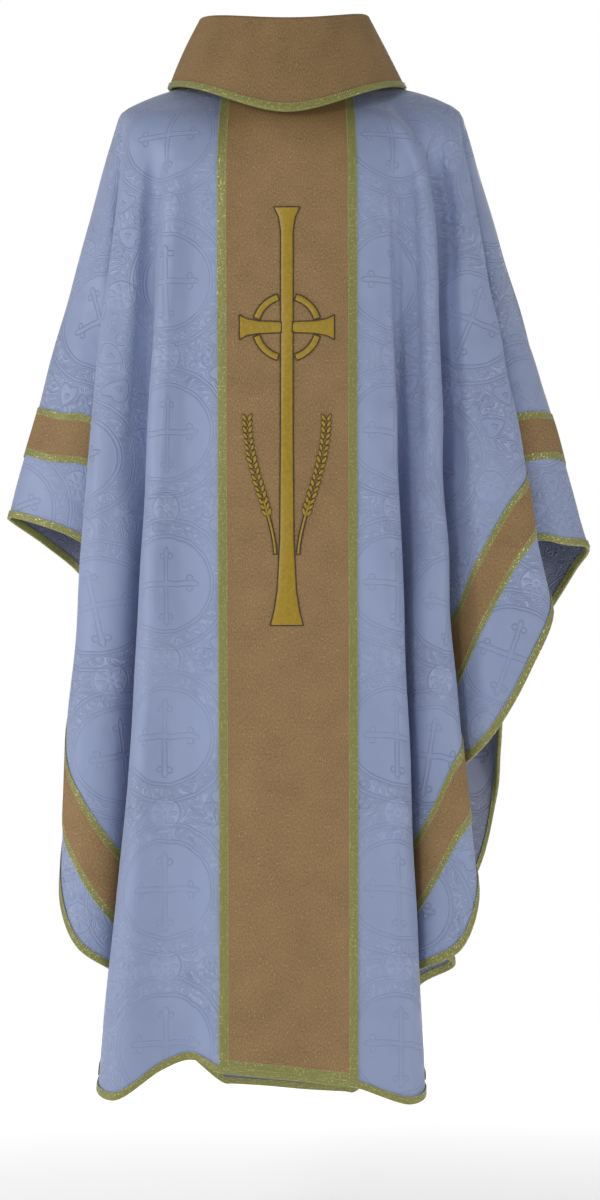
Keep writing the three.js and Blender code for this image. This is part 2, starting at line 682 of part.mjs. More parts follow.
/** The collar: one wall that goes up inside, folds over at the top and falls outside. */
function collar(rails) {
  const shell = new Shell();
  const half = COLLAR.wall / 2;
  const loops = rails.map(({ line, normals }) => [
    ...line.map((p, i) => p.clone().addScaledVector(normals[i], half)),
    ...line.map((p, i) => p.clone().addScaledVector(normals[i], -half)).reverse(),
  ]);
  loops.forEach((a, i) => {
    const b = loops[(i + 1) % loops.length];
    a.forEach((_, k) => {
      const n = (k + 1) % a.length;
      shell.quad(a[k], a[n], b[n], b[k]);
    });
  });
  return shell.geometry();
}

/** The ribbon that is folded round the collar's lower edge. */
function collarEdging(rails) {
  const strips = rails.map(({ line, normals }) => {
    const last = line.length - 1;
    return {
      above: line[last - 1],
      edge: line[last],
      aboveNormal: normals[last - 1],
      edgeNormal: normals[last],
    };
  });
  return foldedStrip(strips, COLLAR.wall / 2, true);
}

const rails = collarRails();
add("collar", collar(rails), goldCloth);
add("collar_edging", collarEdging(rails), ribbonCloth);

export default chasuble;
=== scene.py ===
"""A priest's chasuble of pale blue silk damask with gold orphreys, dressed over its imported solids.

Lengths are in millimetres until a mesh is made, and in metres from there on. -Y is the back, +Z is
up, and left and right are as seen from behind. The cloak is one grid: its columns run from the
neckline to the hem and its rows run round the body. Whatever is sewn onto the damask is made from
the same grid, moved out, so that every layer bends with the cloth under it.
"""

import logging
import math
from dataclasses import dataclass, field
from enum import Enum
from functools import cached_property
from typing import ClassVar

import bpy
import numpy as np
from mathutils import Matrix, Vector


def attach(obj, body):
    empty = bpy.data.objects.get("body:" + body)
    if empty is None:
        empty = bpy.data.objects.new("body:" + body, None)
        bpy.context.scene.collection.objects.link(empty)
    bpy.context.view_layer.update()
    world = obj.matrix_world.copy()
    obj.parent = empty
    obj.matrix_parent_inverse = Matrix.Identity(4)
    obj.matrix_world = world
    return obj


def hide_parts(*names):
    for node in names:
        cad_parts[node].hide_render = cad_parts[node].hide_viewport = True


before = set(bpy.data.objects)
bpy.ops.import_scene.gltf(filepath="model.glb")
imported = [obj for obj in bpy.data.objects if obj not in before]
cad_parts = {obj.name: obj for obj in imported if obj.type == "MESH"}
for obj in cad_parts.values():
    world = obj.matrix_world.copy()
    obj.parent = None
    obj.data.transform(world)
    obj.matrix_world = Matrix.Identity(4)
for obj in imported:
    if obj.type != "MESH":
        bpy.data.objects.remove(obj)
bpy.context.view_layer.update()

logging.basicConfig(level=logging.INFO, format="%(message)s")
log = logging.getLogger("chasuble")

MM = 0.001  # one millimetre, in Blender's metres
SEED = 20  # of everything that is scattered
FLAT_CUT = "flat_cut"  # UV map: the place on the cut cloth, in metres

Amount = float | np.ndarray  # one number, or one for each point


# ---- Node and mesh helpers ----------------------------------------------------------------------


def linear(code: str) -> tuple[float, float, float, float]:
    """Turn an sRGB colour into the linear one that Blender's sockets hold.

    Args:
        code: the colour as "#rrggbb".

    Returns:
        Linear red, green, blue and an alpha of 1.
    """
    parts = [int(code[i : i + 2], 16) / 255 for i in (1, 3, 5)]
    red, green, blue = (c / 12.92 if c <= 0.04045 else ((c + 0.055) / 1.055) ** 2.4 for c in parts)
    return red, green, blue, 1.0


def add_inputs(tree: bpy.types.NodeTree, node: bpy.types.Node, inputs: dict) -> None:
    """Set or link inputs of a node.

    Args:
        tree: the node's tree.
        node: the node.
        inputs: a value or a source socket for each input, by name or index.
    """
    for key, value in inputs.items():
        if isinstance(value, bpy.types.NodeSocket):
            tree.links.new(value, node.inputs[key])
        else:
            node.inputs[key].default_value = value


def add_node(
    tree: bpy.types.NodeTree, kind: str, inputs: dict | None = None, **settings: object
) -> bpy.types.Node:
    """Add one node with its settings, its values and its links.

    Args:
        tree: the node tree that gets it.
        kind: Blender's name for the node type.
        inputs: a value or a source socket for each input, by name or index.
        **settings: properties of the node itself.

    Returns:
        The new node.
    """
    node = tree.nodes.new(kind)
    for name, value in settings.items():
        setattr(node, name, value)
    add_inputs(tree, node, inputs or {})
    return node


def work_out(tree: bpy.types.NodeTree, known: dict, steps: list[tuple]) -> None:
    """Add the nodes of a formula, one for each step.

    Args:
        tree: the material's tree.
        known: sockets by name, which each step's result is added to.
        steps: (result, operation, term, ...), where a term is a number or the name of a result.
    """
    for result, operation, *terms in steps:
        inputs = {i: known[term] if isinstance(term, str) else term for i, term in enumerate(terms)}
        known[result] = add_node(tree, "ShaderNodeMath", inputs, operation=operation).outputs[0]


def distance(
    result: str, a: str, b: str, at: tuple[float, float] = (0.0, 0.0), squash: float = 1.0
) -> list[tuple]:
    """List the steps that measure how far a place is from a point.

    Args:
        result: name of the distance.
        a: name of the place's first coordinate.
        b: name of its second coordinate.
        at: the point.
        squash: what a difference in the first coordinate counts for.

    Returns:
        Steps for work_out.
    """
    step_a, step_b, square, total = (f"{result}_{tag}" for tag in ("a", "b", "square", "total"))
    return [
        (step_a, "MULTIPLY_ADD", a, squash, -at[0] * squash), (step_b, "SUBTRACT", b, at[1]),
        (square, "MULTIPLY", step_a, step_a), (total, "MULTIPLY_ADD", step_b, step_b, square),
        (result, "SQRT", total),
    ]


def edge_of(result: str, place: str, radius: float) -> list[tuple]:
    """List the steps for how far a distance is from a radius. RESULT_off keeps the sign."""
    return [(f"{result}_off", "SUBTRACT", place, radius), (result, "ABSOLUTE", f"{result}_off")]


def least(result: str, *terms: str) -> list[tuple]:
    """List the steps that find the smallest of two or more results."""
    chain = [terms[0], *(f"{result}_{i}" for i in range(len(terms) - 2)), result]
    return [(chain[i + 1], "MINIMUM", chain[i], term) for i, term in enumerate(terms[1:])]


def held(result: str, term: str, low: float = 0.0, high: float = 1.0) -> list[tuple]:
    """List the steps that hold a result between two limits."""
    return [(f"{result}_low", "MAXIMUM", term, low), (result, "MINIMUM", f"{result}_low", high)]


def dye(
    tree: bpy.types.NodeTree, known: dict, ground: str, *layers: tuple[str, str]
) -> bpy.types.NodeSocket:
    """Lay colours over a ground colour.

    Args:
        tree: the material's tree.
        known: sockets by name.
        ground: the colour underneath.
        *layers: the name of an amount, and the colour that it brings in.

    Returns:
        The socket of the finished colour.
    """
    colour = linear(ground)
    for amount, tone in layers:
        inputs = {"Factor": known[amount], "A": colour, "B": linear(tone)}
        colour = add_node(tree, "ShaderNodeMix", inputs, data_type="RGBA").outputs["Result"]
    return colour


def start_material(name: str) -> tuple[bpy.types.Material, bpy.types.NodeTree, bpy.types.Node]:
    """Start a material that holds one shader.

    Args:
        name: the material's name.

    Returns:
        The material, its tree and its shader node.
    """
    material = bpy.data.materials.new(name)
    material.use_nodes = True
    tree = material.node_tree
    tree.nodes.clear()
    shader = add_node(tree, "ShaderNodeBsdfPrincipled")
    add_node(tree, "ShaderNodeOutputMaterial", {"Surface": shader.outputs["BSDF"]})
    return material, tree, shader


def make_mesh(
    name: str, points: np.ndarray, faces: np.ndarray, uv: np.ndarray | None = None
) -> bpy.types.Object:
    """Make a smooth mesh object at the origin.

    Args:
        name: the piece's name.
        points: corners in millimetres, one a row.
        faces: corner numbers, four a row.
        uv: the place of each corner on the cut cloth, in millimetres.

    Returns:
        The object, linked to the scene.
    """
    mesh = bpy.data.meshes.new(name)
    mesh.from_pydata((points * MM).tolist(), [], faces.tolist())
    if uv is not None:
        corner = np.empty(len(mesh.loops), int)
        mesh.loops.foreach_get("vertex_index", corner)
        mesh.uv_layers.new(name=FLAT_CUT).data.foreach_set("uv", (uv[corner] * MM).ravel())
    mesh.shade_smooth()
    mesh.set_sharp_from_angle(angle=math.radians(55))
    piece = bpy.data.objects.new(name, mesh)
    bpy.context.scene.collection.objects.link(piece)
    return piece


def wall(
    name: str, outer: np.ndarray, inner: np.ndarray, uv: np.ndarray, ring: bool = False
) -> bpy.types.Object:
    """Close two grids of the same size into one wall.

    Args:
        name: the piece's name.
        outer: the side that shows, columns by rows by xyz. Rows run down, columns to the right.
        inner: the other side.
        uv: the place of each grid point on the cut cloth, columns by rows by 2.
        ring: whether the last column joins the first.

    Returns:
        The wall's object.
    """
    columns, rows = outer.shape[:2]
    front = np.arange(columns * rows).reshape(columns, rows)
    back = front + columns * rows
    if ring:
        front, back = np.vstack([front, front[:1]]), np.vstack([back, back[:1]])
    quads = [
        (front[:-1, :-1], front[:-1, 1:], front[1:, 1:], front[1:, :-1]),
        (back[:-1, :-1], back[1:, :-1], back[1:, 1:], back[:-1, 1:]),
        (front[:-1, 0], front[1:, 0], back[1:, 0], back[:-1, 0]),
        (back[1:, -1], front[1:, -1], front[:-1, -1], back[:-1, -1]),
    ]
    if not ring:
        quads.append((front[0, :-1], back[0, :-1], back[0, 1:], front[0, 1:]))
        quads.append((front[-1, :-1], front[-1, 1:], back[-1, 1:], back[-1, :-1]))
    faces = np.concatenate([np.stack([c.ravel() for c in quad], 1) for quad in quads])
    points = np.concatenate([outer.reshape(-1, 3), inner.reshape(-1, 3)])
    return make_mesh(name, points, faces, np.concatenate([uv.reshape(-1, 2)] * 2))


def unit(vectors: np.ndarray) -> np.ndarray:
    """Scale vectors, along the last axis, to a length of 1."""
    return vectors / np.maximum(np.linalg.norm(vectors, axis=-1, keepdims=True), 1e-9)


def lerp(a: Amount, b: Amount, share: Amount) -> Amount:
    """Go a share of the way from a to b."""
    return a + (b - a) * share


def run_lengths(points: np.ndarray) -> np.ndarray:
    """Measure how far along a line of points each one lies."""
    steps = np.linalg.norm(np.diff(points, axis=0), axis=-1)
    return np.concatenate([[0.0], np.cumsum(steps)])


# ---- Finishes -----------------------------------------------------------------------------------


@dataclass(frozen=True)
class SilkDamask:
    """Silk damask: a satin ground with its figure in duller weft, so both are one colour.

    The satin's floats give the ground a soft wide gleam. The figure scatters more, so it reads
    darker in the light, and its edges stand up a little. That sheen is painted into the colour:
    painted shade on the figure's lines and a painted sheen on its leaves, over the one colour.

    Attributes:
        ground, shade: the satin's two shades, between which slubs in the silk vary it.
        figure, gleam: the painted shade of the figure's lines and the painted sheen of its leaves.
        repeat: side of the figure's square repeat, in millimetres.
        line: width of the figure's lines, in millimetres.
        scroll: size of a curl in the leafy scrolls, in millimetres.
        depth: how far the painted shade of the lines darkens the ground, as a share.
        lift: how far the painted sheen of the leaves lightens it.
        dimple: height of the dimples that handling leaves, against the figure's.
    """

    name: str = "silk_damask"
    ground: str = "#95a2c5"
    shade: str = "#8d9abd"
    figure: str = "#62709a"
    gleam: str = "#b4c0e0"
    roughness: float = 0.47
    repeat: float = 185.0
    line: float = 1.5
    scroll: float = 13.0
    depth: float = 0.16
    lift: float = 0.3
    dimple: float = 6.0

    def figure_steps(self) -> list[tuple]:
        """List the formula of the figure: roundels with a cross in them, rosettes between, hearts.

        Returns:
            Steps for work_out, from u and v in millimetres and a noise called curls to dark, which is
            1 on the figure's lines, and leaf, which is 1 on its leaves.
        """
        half = self.repeat / 2
        return [
            ("x", "WRAP", "u", half, -half), ("y", "WRAP", "v", half, -half),
            ("ax", "ABSOLUTE", "x"), ("ay", "ABSOLUTE", "y"), *distance("r", "ax", "ay"),
            # The roundel: two double rings.
            *edge_of("inner", "r", 58.5), *edge_of("inner_pair", "inner", 2.0),
            *edge_of("outer", "r", 79.0), *edge_of("outer_pair", "outer", 2.0),
            *self._cross(), *self._rosette(half), *self._corner(half),
            # Lines are thin; petals and buds are filled.
            *least("strokes", "inner_pair", "outer_pair", "cross", "rim", "heart", "scroll", "knot"),
            ("lines", "SUBTRACT", "strokes", self.line / 2),
            *least("shape", "lines", "petal", "pip", "bud", "kernel"),
            ("softened", "MULTIPLY_ADD", "shape", -1.1, 0.5), *held("ink", "softened"),
            *self._leaves(),
        ]

    @staticmethod
    def _cross() -> list[tuple]:
        """List the cross: outlined bars, the foot a little longer, each end with three points."""
        steps = [
            ("cy", "ADD", "y", 3.0), ("cay", "ABSOLUTE", "cy"),
            ("b1", "SUBTRACT", "ax", 2.5), ("b2", "SUBTRACT", "cay", 38.0),
            ("upright", "MAXIMUM", "b1", "b2"),
            ("b3", "SUBTRACT", "ay", 3.2), ("b4", "SUBTRACT", "ax", 32.0),
            ("beam", "MAXIMUM", "b3", "b4"),
        ]
        for name, along, across, at, squash in (
            ("tip", "cay", "ax", (41.0, 0.0), 0.55), ("curl", "cay", "ax", (37.0, 6.3), 1.0),
            ("side_tip", "ax", "ay", (35.0, 0.0), 0.55), ("side_curl", "ax", "ay", (31.0, 6.6), 1.0),
        ):
            steps += distance(f"to_{name}", along, across, at, squash)
            steps.append((name, "SUBTRACT", f"to_{name}", 3.4))
        steps += least("solid", "upright", "beam", "tip", "curl", "side_tip", "side_curl")
        return [*steps, ("cross", "ABSOLUTE", "solid")]

    @staticmethod
    def _rosette(half: float) -> list[tuple]:
        """List the rosette half way to each next roundel: a disc with eight petals."""
        return [
            ("far", "MAXIMUM", "ax", "ay"), ("near", "MINIMUM", "ax", "ay"),
            ("short", "SUBTRACT", half, "far"), *distance("fr", "short", "near"),
            ("angle", "ARCTAN2", "near", "short"), ("wedge", "PINGPONG", "angle", math.pi / 8),
            ("arc", "MULTIPLY", "wedge", "fr"), ("wide_arc", "MULTIPLY", "arc", 2.0),
            *distance("to_petal", "fr", "wide_arc", (10.5, 0.0)),
            ("petal_off", "SUBTRACT", "to_petal", 5.0), ("petal", "MULTIPLY", "petal_off", 0.6),
            *edge_of("rim", "fr", 18.5), ("pip", "SUBTRACT", "fr", 2.0),
        ]

    @staticmethod
    def _corner(half: float) -> list[tuple]:
        """List the hearts, scrolls and knots round the corners of the repeat."""
        diagonal = 0.7071  # sine and cosine of 45 degrees
        return [
            ("kx", "SUBTRACT", half, "ax"), ("ky", "SUBTRACT", half, "ay"),
            ("k1", "ADD", "kx", "ky"), ("along", "MULTIPLY", "k1", diagonal),
            ("k2", "SUBTRACT", "kx", "ky"), ("k3", "MULTIPLY", "k2", diagonal), ("off", "ABSOLUTE", "k3"),
            ("cleft", "MULTIPLY_ADD", "off", -0.7, "along"),
            *distance("to_heart", "cleft", "off", (28.0, 0.0)),
            *edge_of("heart", "to_heart", 12.5), ("kernel", "SUBTRACT", "to_heart", 3.6),
            *distance("to_scroll", "along", "off", (31.0, 23.0)),
            *edge_of("scroll", "to_scroll", 7.5), ("bud", "SUBTRACT", "to_scroll", 2.2),
            *distance("to_corner", "along", "off"), *edge_of("knot", "to_corner", 8.0),
        ]

    @staticmethod
    def _leaves() -> list[tuple]:
        """List the leafy scrolls between the two rings, and on the ground between the motifs."""
        return [
            ("past_inner", "SUBTRACT", "r", 62.0), ("before_outer", "SUBTRACT", 76.0, "r"),
            *least("band", "past_inner", "before_outer"),
            ("past_outer", "SUBTRACT", "r", 82.0), ("past_rosette", "SUBTRACT", "fr", 21.0),
            ("past_heart", "SUBTRACT", "heart_off", 1.5),
            *least("between", "past_outer", "past_rosette", "past_heart"),
            ("open", "MAXIMUM", "band", "between"), *held("room", "open"),
            ("swirl", "MULTIPLY", "curls", 34.0), ("wave", "SINE", "swirl"),
            ("leaves", "MULTIPLY", "wave", "room"),
            ("inside_rim", "MULTIPLY", "rim_off", -1.0), *held("disc", "inside_rim", high=0.75),
            ("leaf", "MAXIMUM", "leaves", "disc"),
            ("hollow", "MINIMUM", "leaves", 0.0), ("shadow", "MULTIPLY", "hollow", -0.55),
            ("dark", "MAXIMUM", "ink", "shadow"),
        ]

    def material(self) -> bpy.types.Material:
        """Build the material on the cloth's own UV map."""
        material, tree, shader = start_material(self.name)
        place = add_node(tree, "ShaderNodeUVMap", uv_map=FLAT_CUT).outputs["UV"]
        parts = add_node(tree, "ShaderNodeSeparateXYZ", {0: place})
        known = {"u_m": parts.outputs["X"], "v_m": parts.outputs["Y"]}
        # curls shape the leafy scrolls, and slubs vary the ground. Threads of 0.15 mm can't show, so
        # the weave is drawn as a grain of about 1 mm. Handling leaves the silk faintly dimpled, and
        # the figure shows more where the press has laid its floats flat.
        for noise, settings in {
            "curls": {"Scale": 1 / (self.scroll * MM), "Detail": 0.0}, "slubs": {"Scale": 9.0, "Detail": 3.0},
            "grain": {"Scale": 900.0, "Detail": 1.0}, "dimple": {"Scale": 24.0, "Detail": 1.0},
            "press": {"Scale": 6.5},
        }.items():
            known[noise] = add_node(tree, "ShaderNodeTexNoise", {"Vector": place, **settings}).outputs["Fac"]
        work_out(tree, known, [
            ("u", "DIVIDE", "u_m", MM), ("v", "DIVIDE", "v_m", MM), *self.figure_steps(),
            ("pressed", "MULTIPLY_ADD", "press", 3.0, -0.85), *held("clear", "pressed", low=0.5),
            ("dark", "MULTIPLY", "dark", "clear"), ("leaf", "MULTIPLY", "leaf", "clear"),
            ("matt", "MULTIPLY_ADD", "dark", 0.15, self.roughness),
            ("dull", "MULTIPLY_ADD", "leaf", -0.2, "matt"),
            ("painted_line_shade", "MULTIPLY", "dark", self.depth), ("painted_leaf_sheen", "MULTIPLY", "leaf", self.lift),
            ("high", "MULTIPLY_ADD", "leaf", 1.15, "dark"),
            ("thready", "MULTIPLY_ADD", "grain", 0.25, "high"),
            ("height", "MULTIPLY_ADD", "dimple", self.dimple, "thready"),
        ])
        # The silk is one colour: the leaves get a painted sheen and the lines a painted shade; the slubs are
        # the silk's own uneven tone.
        layers = (("slubs", self.shade), ("painted_leaf_sheen", self.gleam), ("painted_line_shade", self.figure))
        relief = {"Strength": 1.0, "Distance": 0.7 * MM, "Height": known["height"]}
        add_inputs(tree, shader, {
            "Base Color": dye(tree, known, self.ground, *layers), "Roughness": known["dull"],
            "Normal": add_node(tree, "ShaderNodeBump", relief).outputs["Normal"],
            "Sheen Weight": 0.45, "Sheen Roughness": 0.35, "IOR": 1.5,
        })
        return material


# On the cloth's reverse the duller weft lies on top, so it is rougher. Its greyer, darker colours are painted
# shade, for the inside of the garment and for the weft's weaker sheen.
DAMASK_REVERSE = SilkDamask(
    name="silk_damask_reverse", ground="#858ba4", shade="#7c829b", figure="#5f6478", gleam="#a4a9bf",
    roughness=0.6,
)


@dataclass(frozen=True)
class GoldBrocade:
    """Gold brocade: matt brown silk crossed by fine gilt strips, which catch the light as flecks.

    Attributes:
        silk, lit_silk: the silk's two shades.
        gilt: colour of the strips.
        fleck: size of a fleck, in millimetres. A real strip is 0.3 mm wide and would not show.
    """

    name: str = "gold_brocade"
    silk: str = "#775d39"
    lit_silk: str = "#9d7d52"
    gilt: str = "#d2b672"
    fleck: float = 1.5

    def material(self) -> bpy.types.Material:
        """Build the material on the piece's own UV map."""
        material, tree, shader = start_material(self.name)
        place = add_node(tree, "ShaderNodeUVMap", uv_map=FLAT_CUT).outputs["UV"]
        stretch = add_node(tree, "ShaderNodeMapping", {"Vector": place, "Scale": (1.0, 0.55, 1.0)})
        threads = stretch.outputs["Vector"]
        specks = {"Vector": threads, "Scale": 1 / (self.fleck * MM), "Detail": 2.0, "Roughness": 0.65}
        patches = {"Vector": place, "Scale": 26.0, "Detail": 3.0}
        cells = {"Vector": threads, "Scale": 0.8 / (self.fleck * MM)}
        known = {
            "mottle": add_node(tree, "ShaderNodeTexNoise", specks).outputs["Fac"],
            "broad": add_node(tree, "ShaderNodeTexNoise", patches).outputs["Fac"],
            "cell": add_node(tree, "ShaderNodeTexVoronoi", cells).outputs["Distance"],
        }
        work_out(tree, known, [
            ("fine", "MULTIPLY_ADD", "mottle", 3.0, -1.22), ("both", "MULTIPLY_ADD", "broad", 0.8, "fine"),
            *held("light", "both"),
            ("spot", "MULTIPLY_ADD", "cell", -8.0, 2.8), ("chosen", "MULTIPLY_ADD", "mottle", 9.0, -5.2),
            *least("strip", "spot", "chosen"), *held("gilding", "strip"),
            ("metal", "MULTIPLY_ADD", "gilding", 0.6, 0.1), ("dull", "MULTIPLY_ADD", "gilding", -0.25, 0.6),
        ])
        relief = {"Strength": 0.6, "Distance": 0.5 * MM, "Height": known["light"]}
        add_inputs(tree, shader, {
            "Base Color": dye(tree, known, self.silk, ("light", self.lit_silk), ("gilding", self.gilt)),
            "Roughness": known["dull"], "Metallic": known["metal"],
            "Normal": add_node(tree, "ShaderNodeBump", relief).outputs["Normal"],
            "Sheen Weight": 0.08, "Sheen Tint": linear(self.gilt),
        })
        return material


@dataclass(frozen=True)
class GiltRibbon:
    """Braided ribbon of olive silk and gilt thread, ribbed across, with a satin gleam.

    Attributes:
        silk, lit: the silk's colour, and the painted highlight laid on the tops of its ribs.
        gilt: colour of the gilt thread.
        rib: from one rib to the next, in millimetres.
    """

    name: str = "gilt_ribbon"
    silk: str = "#747138"
    painted_highlight: str = "#92934c"
    gilt: str = "#dedb96"
    rib: float = 1.8

    def material(self) -> bpy.types.Material:
        """Build the material on the piece's own UV map, with ribs that slant across it."""
        material, tree, shader = start_material(self.name)
        place = add_node(tree, "ShaderNodeUVMap", uv_map=FLAT_CUT).outputs["UV"]
        waves = math.tau / 10 / math.sqrt(2) / (self.rib * MM)
        ribs = add_node(
            tree, "ShaderNodeTexWave", {"Vector": place, "Scale": waves, "Distortion": 6.0, "Detail": 1.0},
            wave_type="BANDS", bands_direction="DIAGONAL",
        )
        flecks = add_node(tree, "ShaderNodeTexNoise", {"Vector": place, "Scale": 480.0, "Detail": 1.0})
        known = {"rib": ribs.outputs["Fac"], "fleck": flecks.outputs["Fac"]}
        work_out(tree, known, [
            ("strip", "MULTIPLY_ADD", "fleck", 9.0, -5.4), *held("gilding", "strip"),
            ("metal", "MULTIPLY_ADD", "gilding", 0.5, 0.15), ("dull", "MULTIPLY_ADD", "gilding", -0.2, 0.45),
        ])
        relief = {"Strength": 0.4, "Distance": 0.3 * MM, "Height": known["rib"]}
        add_inputs(tree, shader, {
            # The ribs' tops are painted lighter, a painted highlight; the gilding is the gilt thread's own
            # colour.
            "Base Color": dye(tree, known, self.silk, ("rib", self.painted_highlight), ("gilding", self.gilt)),
            "Roughness": known["dull"], "Metallic": known["metal"],
            "Normal": add_node(tree, "ShaderNodeBump", relief).outputs["Normal"], "Sheen Weight": 0.2,
        })
        return material


@dataclass(frozen=True)
class Thread:
    """Embroidery or sewing thread of twisted silk: a soft gleam that varies along the stitch.

    Attributes:
        dark, lit: the thread's colour, and the lighter tone of a painted gleam that streaks along the stitch.
    """

    name: str
    dark: str
    painted_highlight: str
    roughness: float = 0.38

    def material(self) -> bpy.types.Material:
        """Build the material on Object coordinates, because a stitch is shorter than any pattern."""
        material, tree, shader = start_material(self.name)
        place = add_node(tree, "ShaderNodeTexCoord").outputs["Object"]
        streaks = add_node(tree, "ShaderNodeTexNoise", {"Vector": place, "Scale": 260.0, "Detail": 2.0})
        known = {"streak": streaks.outputs["Fac"]}
        relief = {"Strength": 0.4, "Distance": 0.3 * MM, "Height": known["streak"]}
        # The streaks mix a painted gleam into the thread's colour.
        add_inputs(tree, shader, {
            "Base Color": dye(tree, known, self.dark, ("streak", self.painted_highlight)), "Roughness": self.roughness,
            "Normal": add_node(tree, "ShaderNodeBump", relief).outputs["Normal"], "Sheen Weight": 0.3,
        })
        return material


# ---- The cloak's grid ---------------------------------------------------------------------------


@dataclass(frozen=True)
class Face:
    """The yoke's shape at the front or at the back. y is its sign, the rest millimetres."""

    name: str
    y: int
    neck_depth: float
    neck_z: float
    yoke_depth: float
    yoke_z: float


@dataclass(frozen=True)
class Side:
    """A shoulder. x is its sign, and tip is from the middle to the shoulder's end."""

    name: str
    x: int
    tip: float


BACK = Face("back", -1, 76, 0, 118, -75)
FRONT = Face("front", 1, 80, -22, 114, -85)
LEFT = Side("left", -1, 209)
RIGHT = Side("right", 1, 216)

NECK_HALF_WIDTH = 88
NECK_SIDE_Z = 12
NECK_COLUMN_SHARE = 0.9  # of the neck's half width, at the column's edge
TIP_Z = -22  # height of the shoulders' ends
YOKE_POWER = 0.8  # under 1, the yoke is boxier than an ellipse
SHOULDER_ROUND = (8, 42)  # how far each side of the yoke a line bends over: at the arm, at the middle
SHOULDER_ARCH = 9  # how far the cloth stands up between neck and shoulder

COLUMN_HALF_WIDTH = 85
COLUMN_RIBBON = 10.5
BAND_WIDTH = 62
BAND_RIBBON = 8.5
BAND_STRETCH = 1.5  # how much further than its width a slanting band reaches along a fold line
BINDING = 7  # height of the hem binding
FOOT_RIBBON = 8
LEAST_SINE = 0.35  # of the angle between hem and fold line, so that no binding gets too high

CLOTH = 1.6  # wall of the damask
RIBBON = 1.0  # wall of everything sewn onto it
LIFT = 0.4  # clear gap under whatever lies on a panel
FOLDED_LIFT = 0.7  # clear gap inside whatever is folded round an edge
SEAM = 0.3  # clear gap between pieces that are sewn edge to edge
ON_CLOTH = CLOTH / 2 + LIFT  # underside of what lies on the damask

# Each row is one fold line, from the top of the arm towards the middle. yoke is its place on the
# shoulder yoke in degrees, 0 at the shoulder's end and 90 in the middle. side, out and z are its
# end at the hem: out is how far it stands off the garment's middle plane. bow_side and bow_out are
# how far it bends away from straight half way down. band is where the side band crosses it, as a
# share of the way from yoke to hem, and 0 is nowhere.
# (yoke, side, out, z, bow_side, bow_out, band)
FOLDS = {
    (BACK, LEFT): [
        (5, 305, 25, -537, 0, 6, 0.79),  # sleeve, falling off the arm
        (10, 259, 38, -556, 0, 6, 0.77),
        (14, 208, 30, -600, 0, 0, 0.77),  # tucked in under the arm
        (18, 222, 52, -742, 4, 0, 0.79),
        (22, 268, 68, -900, 8, 0, 0.85),
        (26, 277, 90, -1000, 11, 4, 0.865),  # side lobe
        (31, 256, 112, -1052, 8, 6, 0.87),
        (37, 219, 111, -1078, 0, 4, 0.9),
        (42, 176, 66, -1102, 0, -8, 0.925),  # deep valley behind the main panel
        (45, 158, 78, -1128, 0, -8, 0.945),
        (48, 180, 102, -1168, -4, -4, 0.965),
        (52, 230, 140, -1222, -9, 6, 1.03),  # main panel's edge
        (56, 206, 172, -1231, -6, 8, 0),
        (61, 150, 168, -1195, 0, 4, 0),
        (67, 114, 166, -1183, 0, 2, 0),
    ],
    (BACK, RIGHT): [
        (4, 347, 22, -561, 0, 6, 0.75),  # sleeve
        (8, 311, 36, -556, 0, 6, 0.765),
        (11, 268, 22, -574, 0, 0, 0.77),  # tucked in under the arm
        (14, 268, 46, -600, 0, 0, 0.78),
        (17, 326, 74, -636, 0, 8, 0.79),  # outer lobe
        (21, 295, 104, -719, 0, 10, 0.76),
        (25, 248, 110, -799, 0, 8, 0.77),
        (28.5, 211, 84, -838, 0, 0, 0.817),
        (31, 182, 58, -862, -4, -6, 0.83),  # tucked in behind the inner lobe
        (33.5, 176, 82, -905, -6, -4, 0.845),
        (37, 231, 118, -972, -14, 6, 0.867),  # inner lobe
        (42, 212, 134, -1052, -6, 8, 0.83),
        (48, 164, 126, -1078, 0, 2, 0.884),
        (52, 122, 66, -1100, 0, -8, 0.92),  # deep valley behind the main panel
        (55.5, 102, 78, -1130, 0, -8, 0.94),
        (59, 120, 108, -1176, 0, -4, 0.965),
        (63, 167, 150, -1226, 0, 4, 1.03),  # main panel's edge
        (66.5, 148, 180, -1235, 0, 4, 0),
    ],
    (FRONT, LEFT): [
        (6, 306, 40, -560, 0, 6, 0.79),  # sleeve
        (12, 263, 62, -597, 0, 6, 0.77),
        (17, 224, 38, -655, 0, -4, 0.77),  # tucked in under the arm
        (21, 214, 60, -715, 0, -4, 0.785),
        (26, 249, 74, -808, 0, 4, 0.8),  # side lobe
        (31, 262, 102, -900, 0, 6, 0.83),
        (35, 247, 118, -985, 0, 8, 0.85),
        (39, 216, 100, -1040, 0, 2, 0.88),
        (43, 180, 62, -1060, 0, -8, 0.91),  # deep valley behind the main panel
        (47, 162, 76, -1084, 0, -8, 0.935),
        (51, 184, 102, -1122, 0, -4, 0.96),
        (56, 218, 132, -1164, 0, 4, 1.03),  # main panel's edge
        (64, 150, 158, -1200, 0, 6, 0),
    ],
    (FRONT, RIGHT): [
        (6, 363, 44, -593, 0, 6, 0.76),  # sleeve
        (12, 335, 62, -640, 0, 6, 0.77),
        (18, 280, 46, -716, 0, -4, 0.78),
        (25, 270, 84, -815, 0, 4, 0.8),  # side lobe
        (32, 266, 112, -885, 0, 8, 0.83),
        (38, 238, 100, -985, 0, 2, 0.87),
        (43, 192, 62, -1020, 0, -8, 0.9),  # deep valley behind the main panel
        (47, 172, 76, -1050, 0, -8, 0.93),
        (51, 190, 102, -1080, 0, -4, 0.96),
        (56, 214, 130, -1100, 0, 4, 1.03),  # main panel's edge
        (61, 168, 156, -1130, 0, 6, 0),
        (67, 122, 150, -1212, 0, 0, 0),
    ],
}
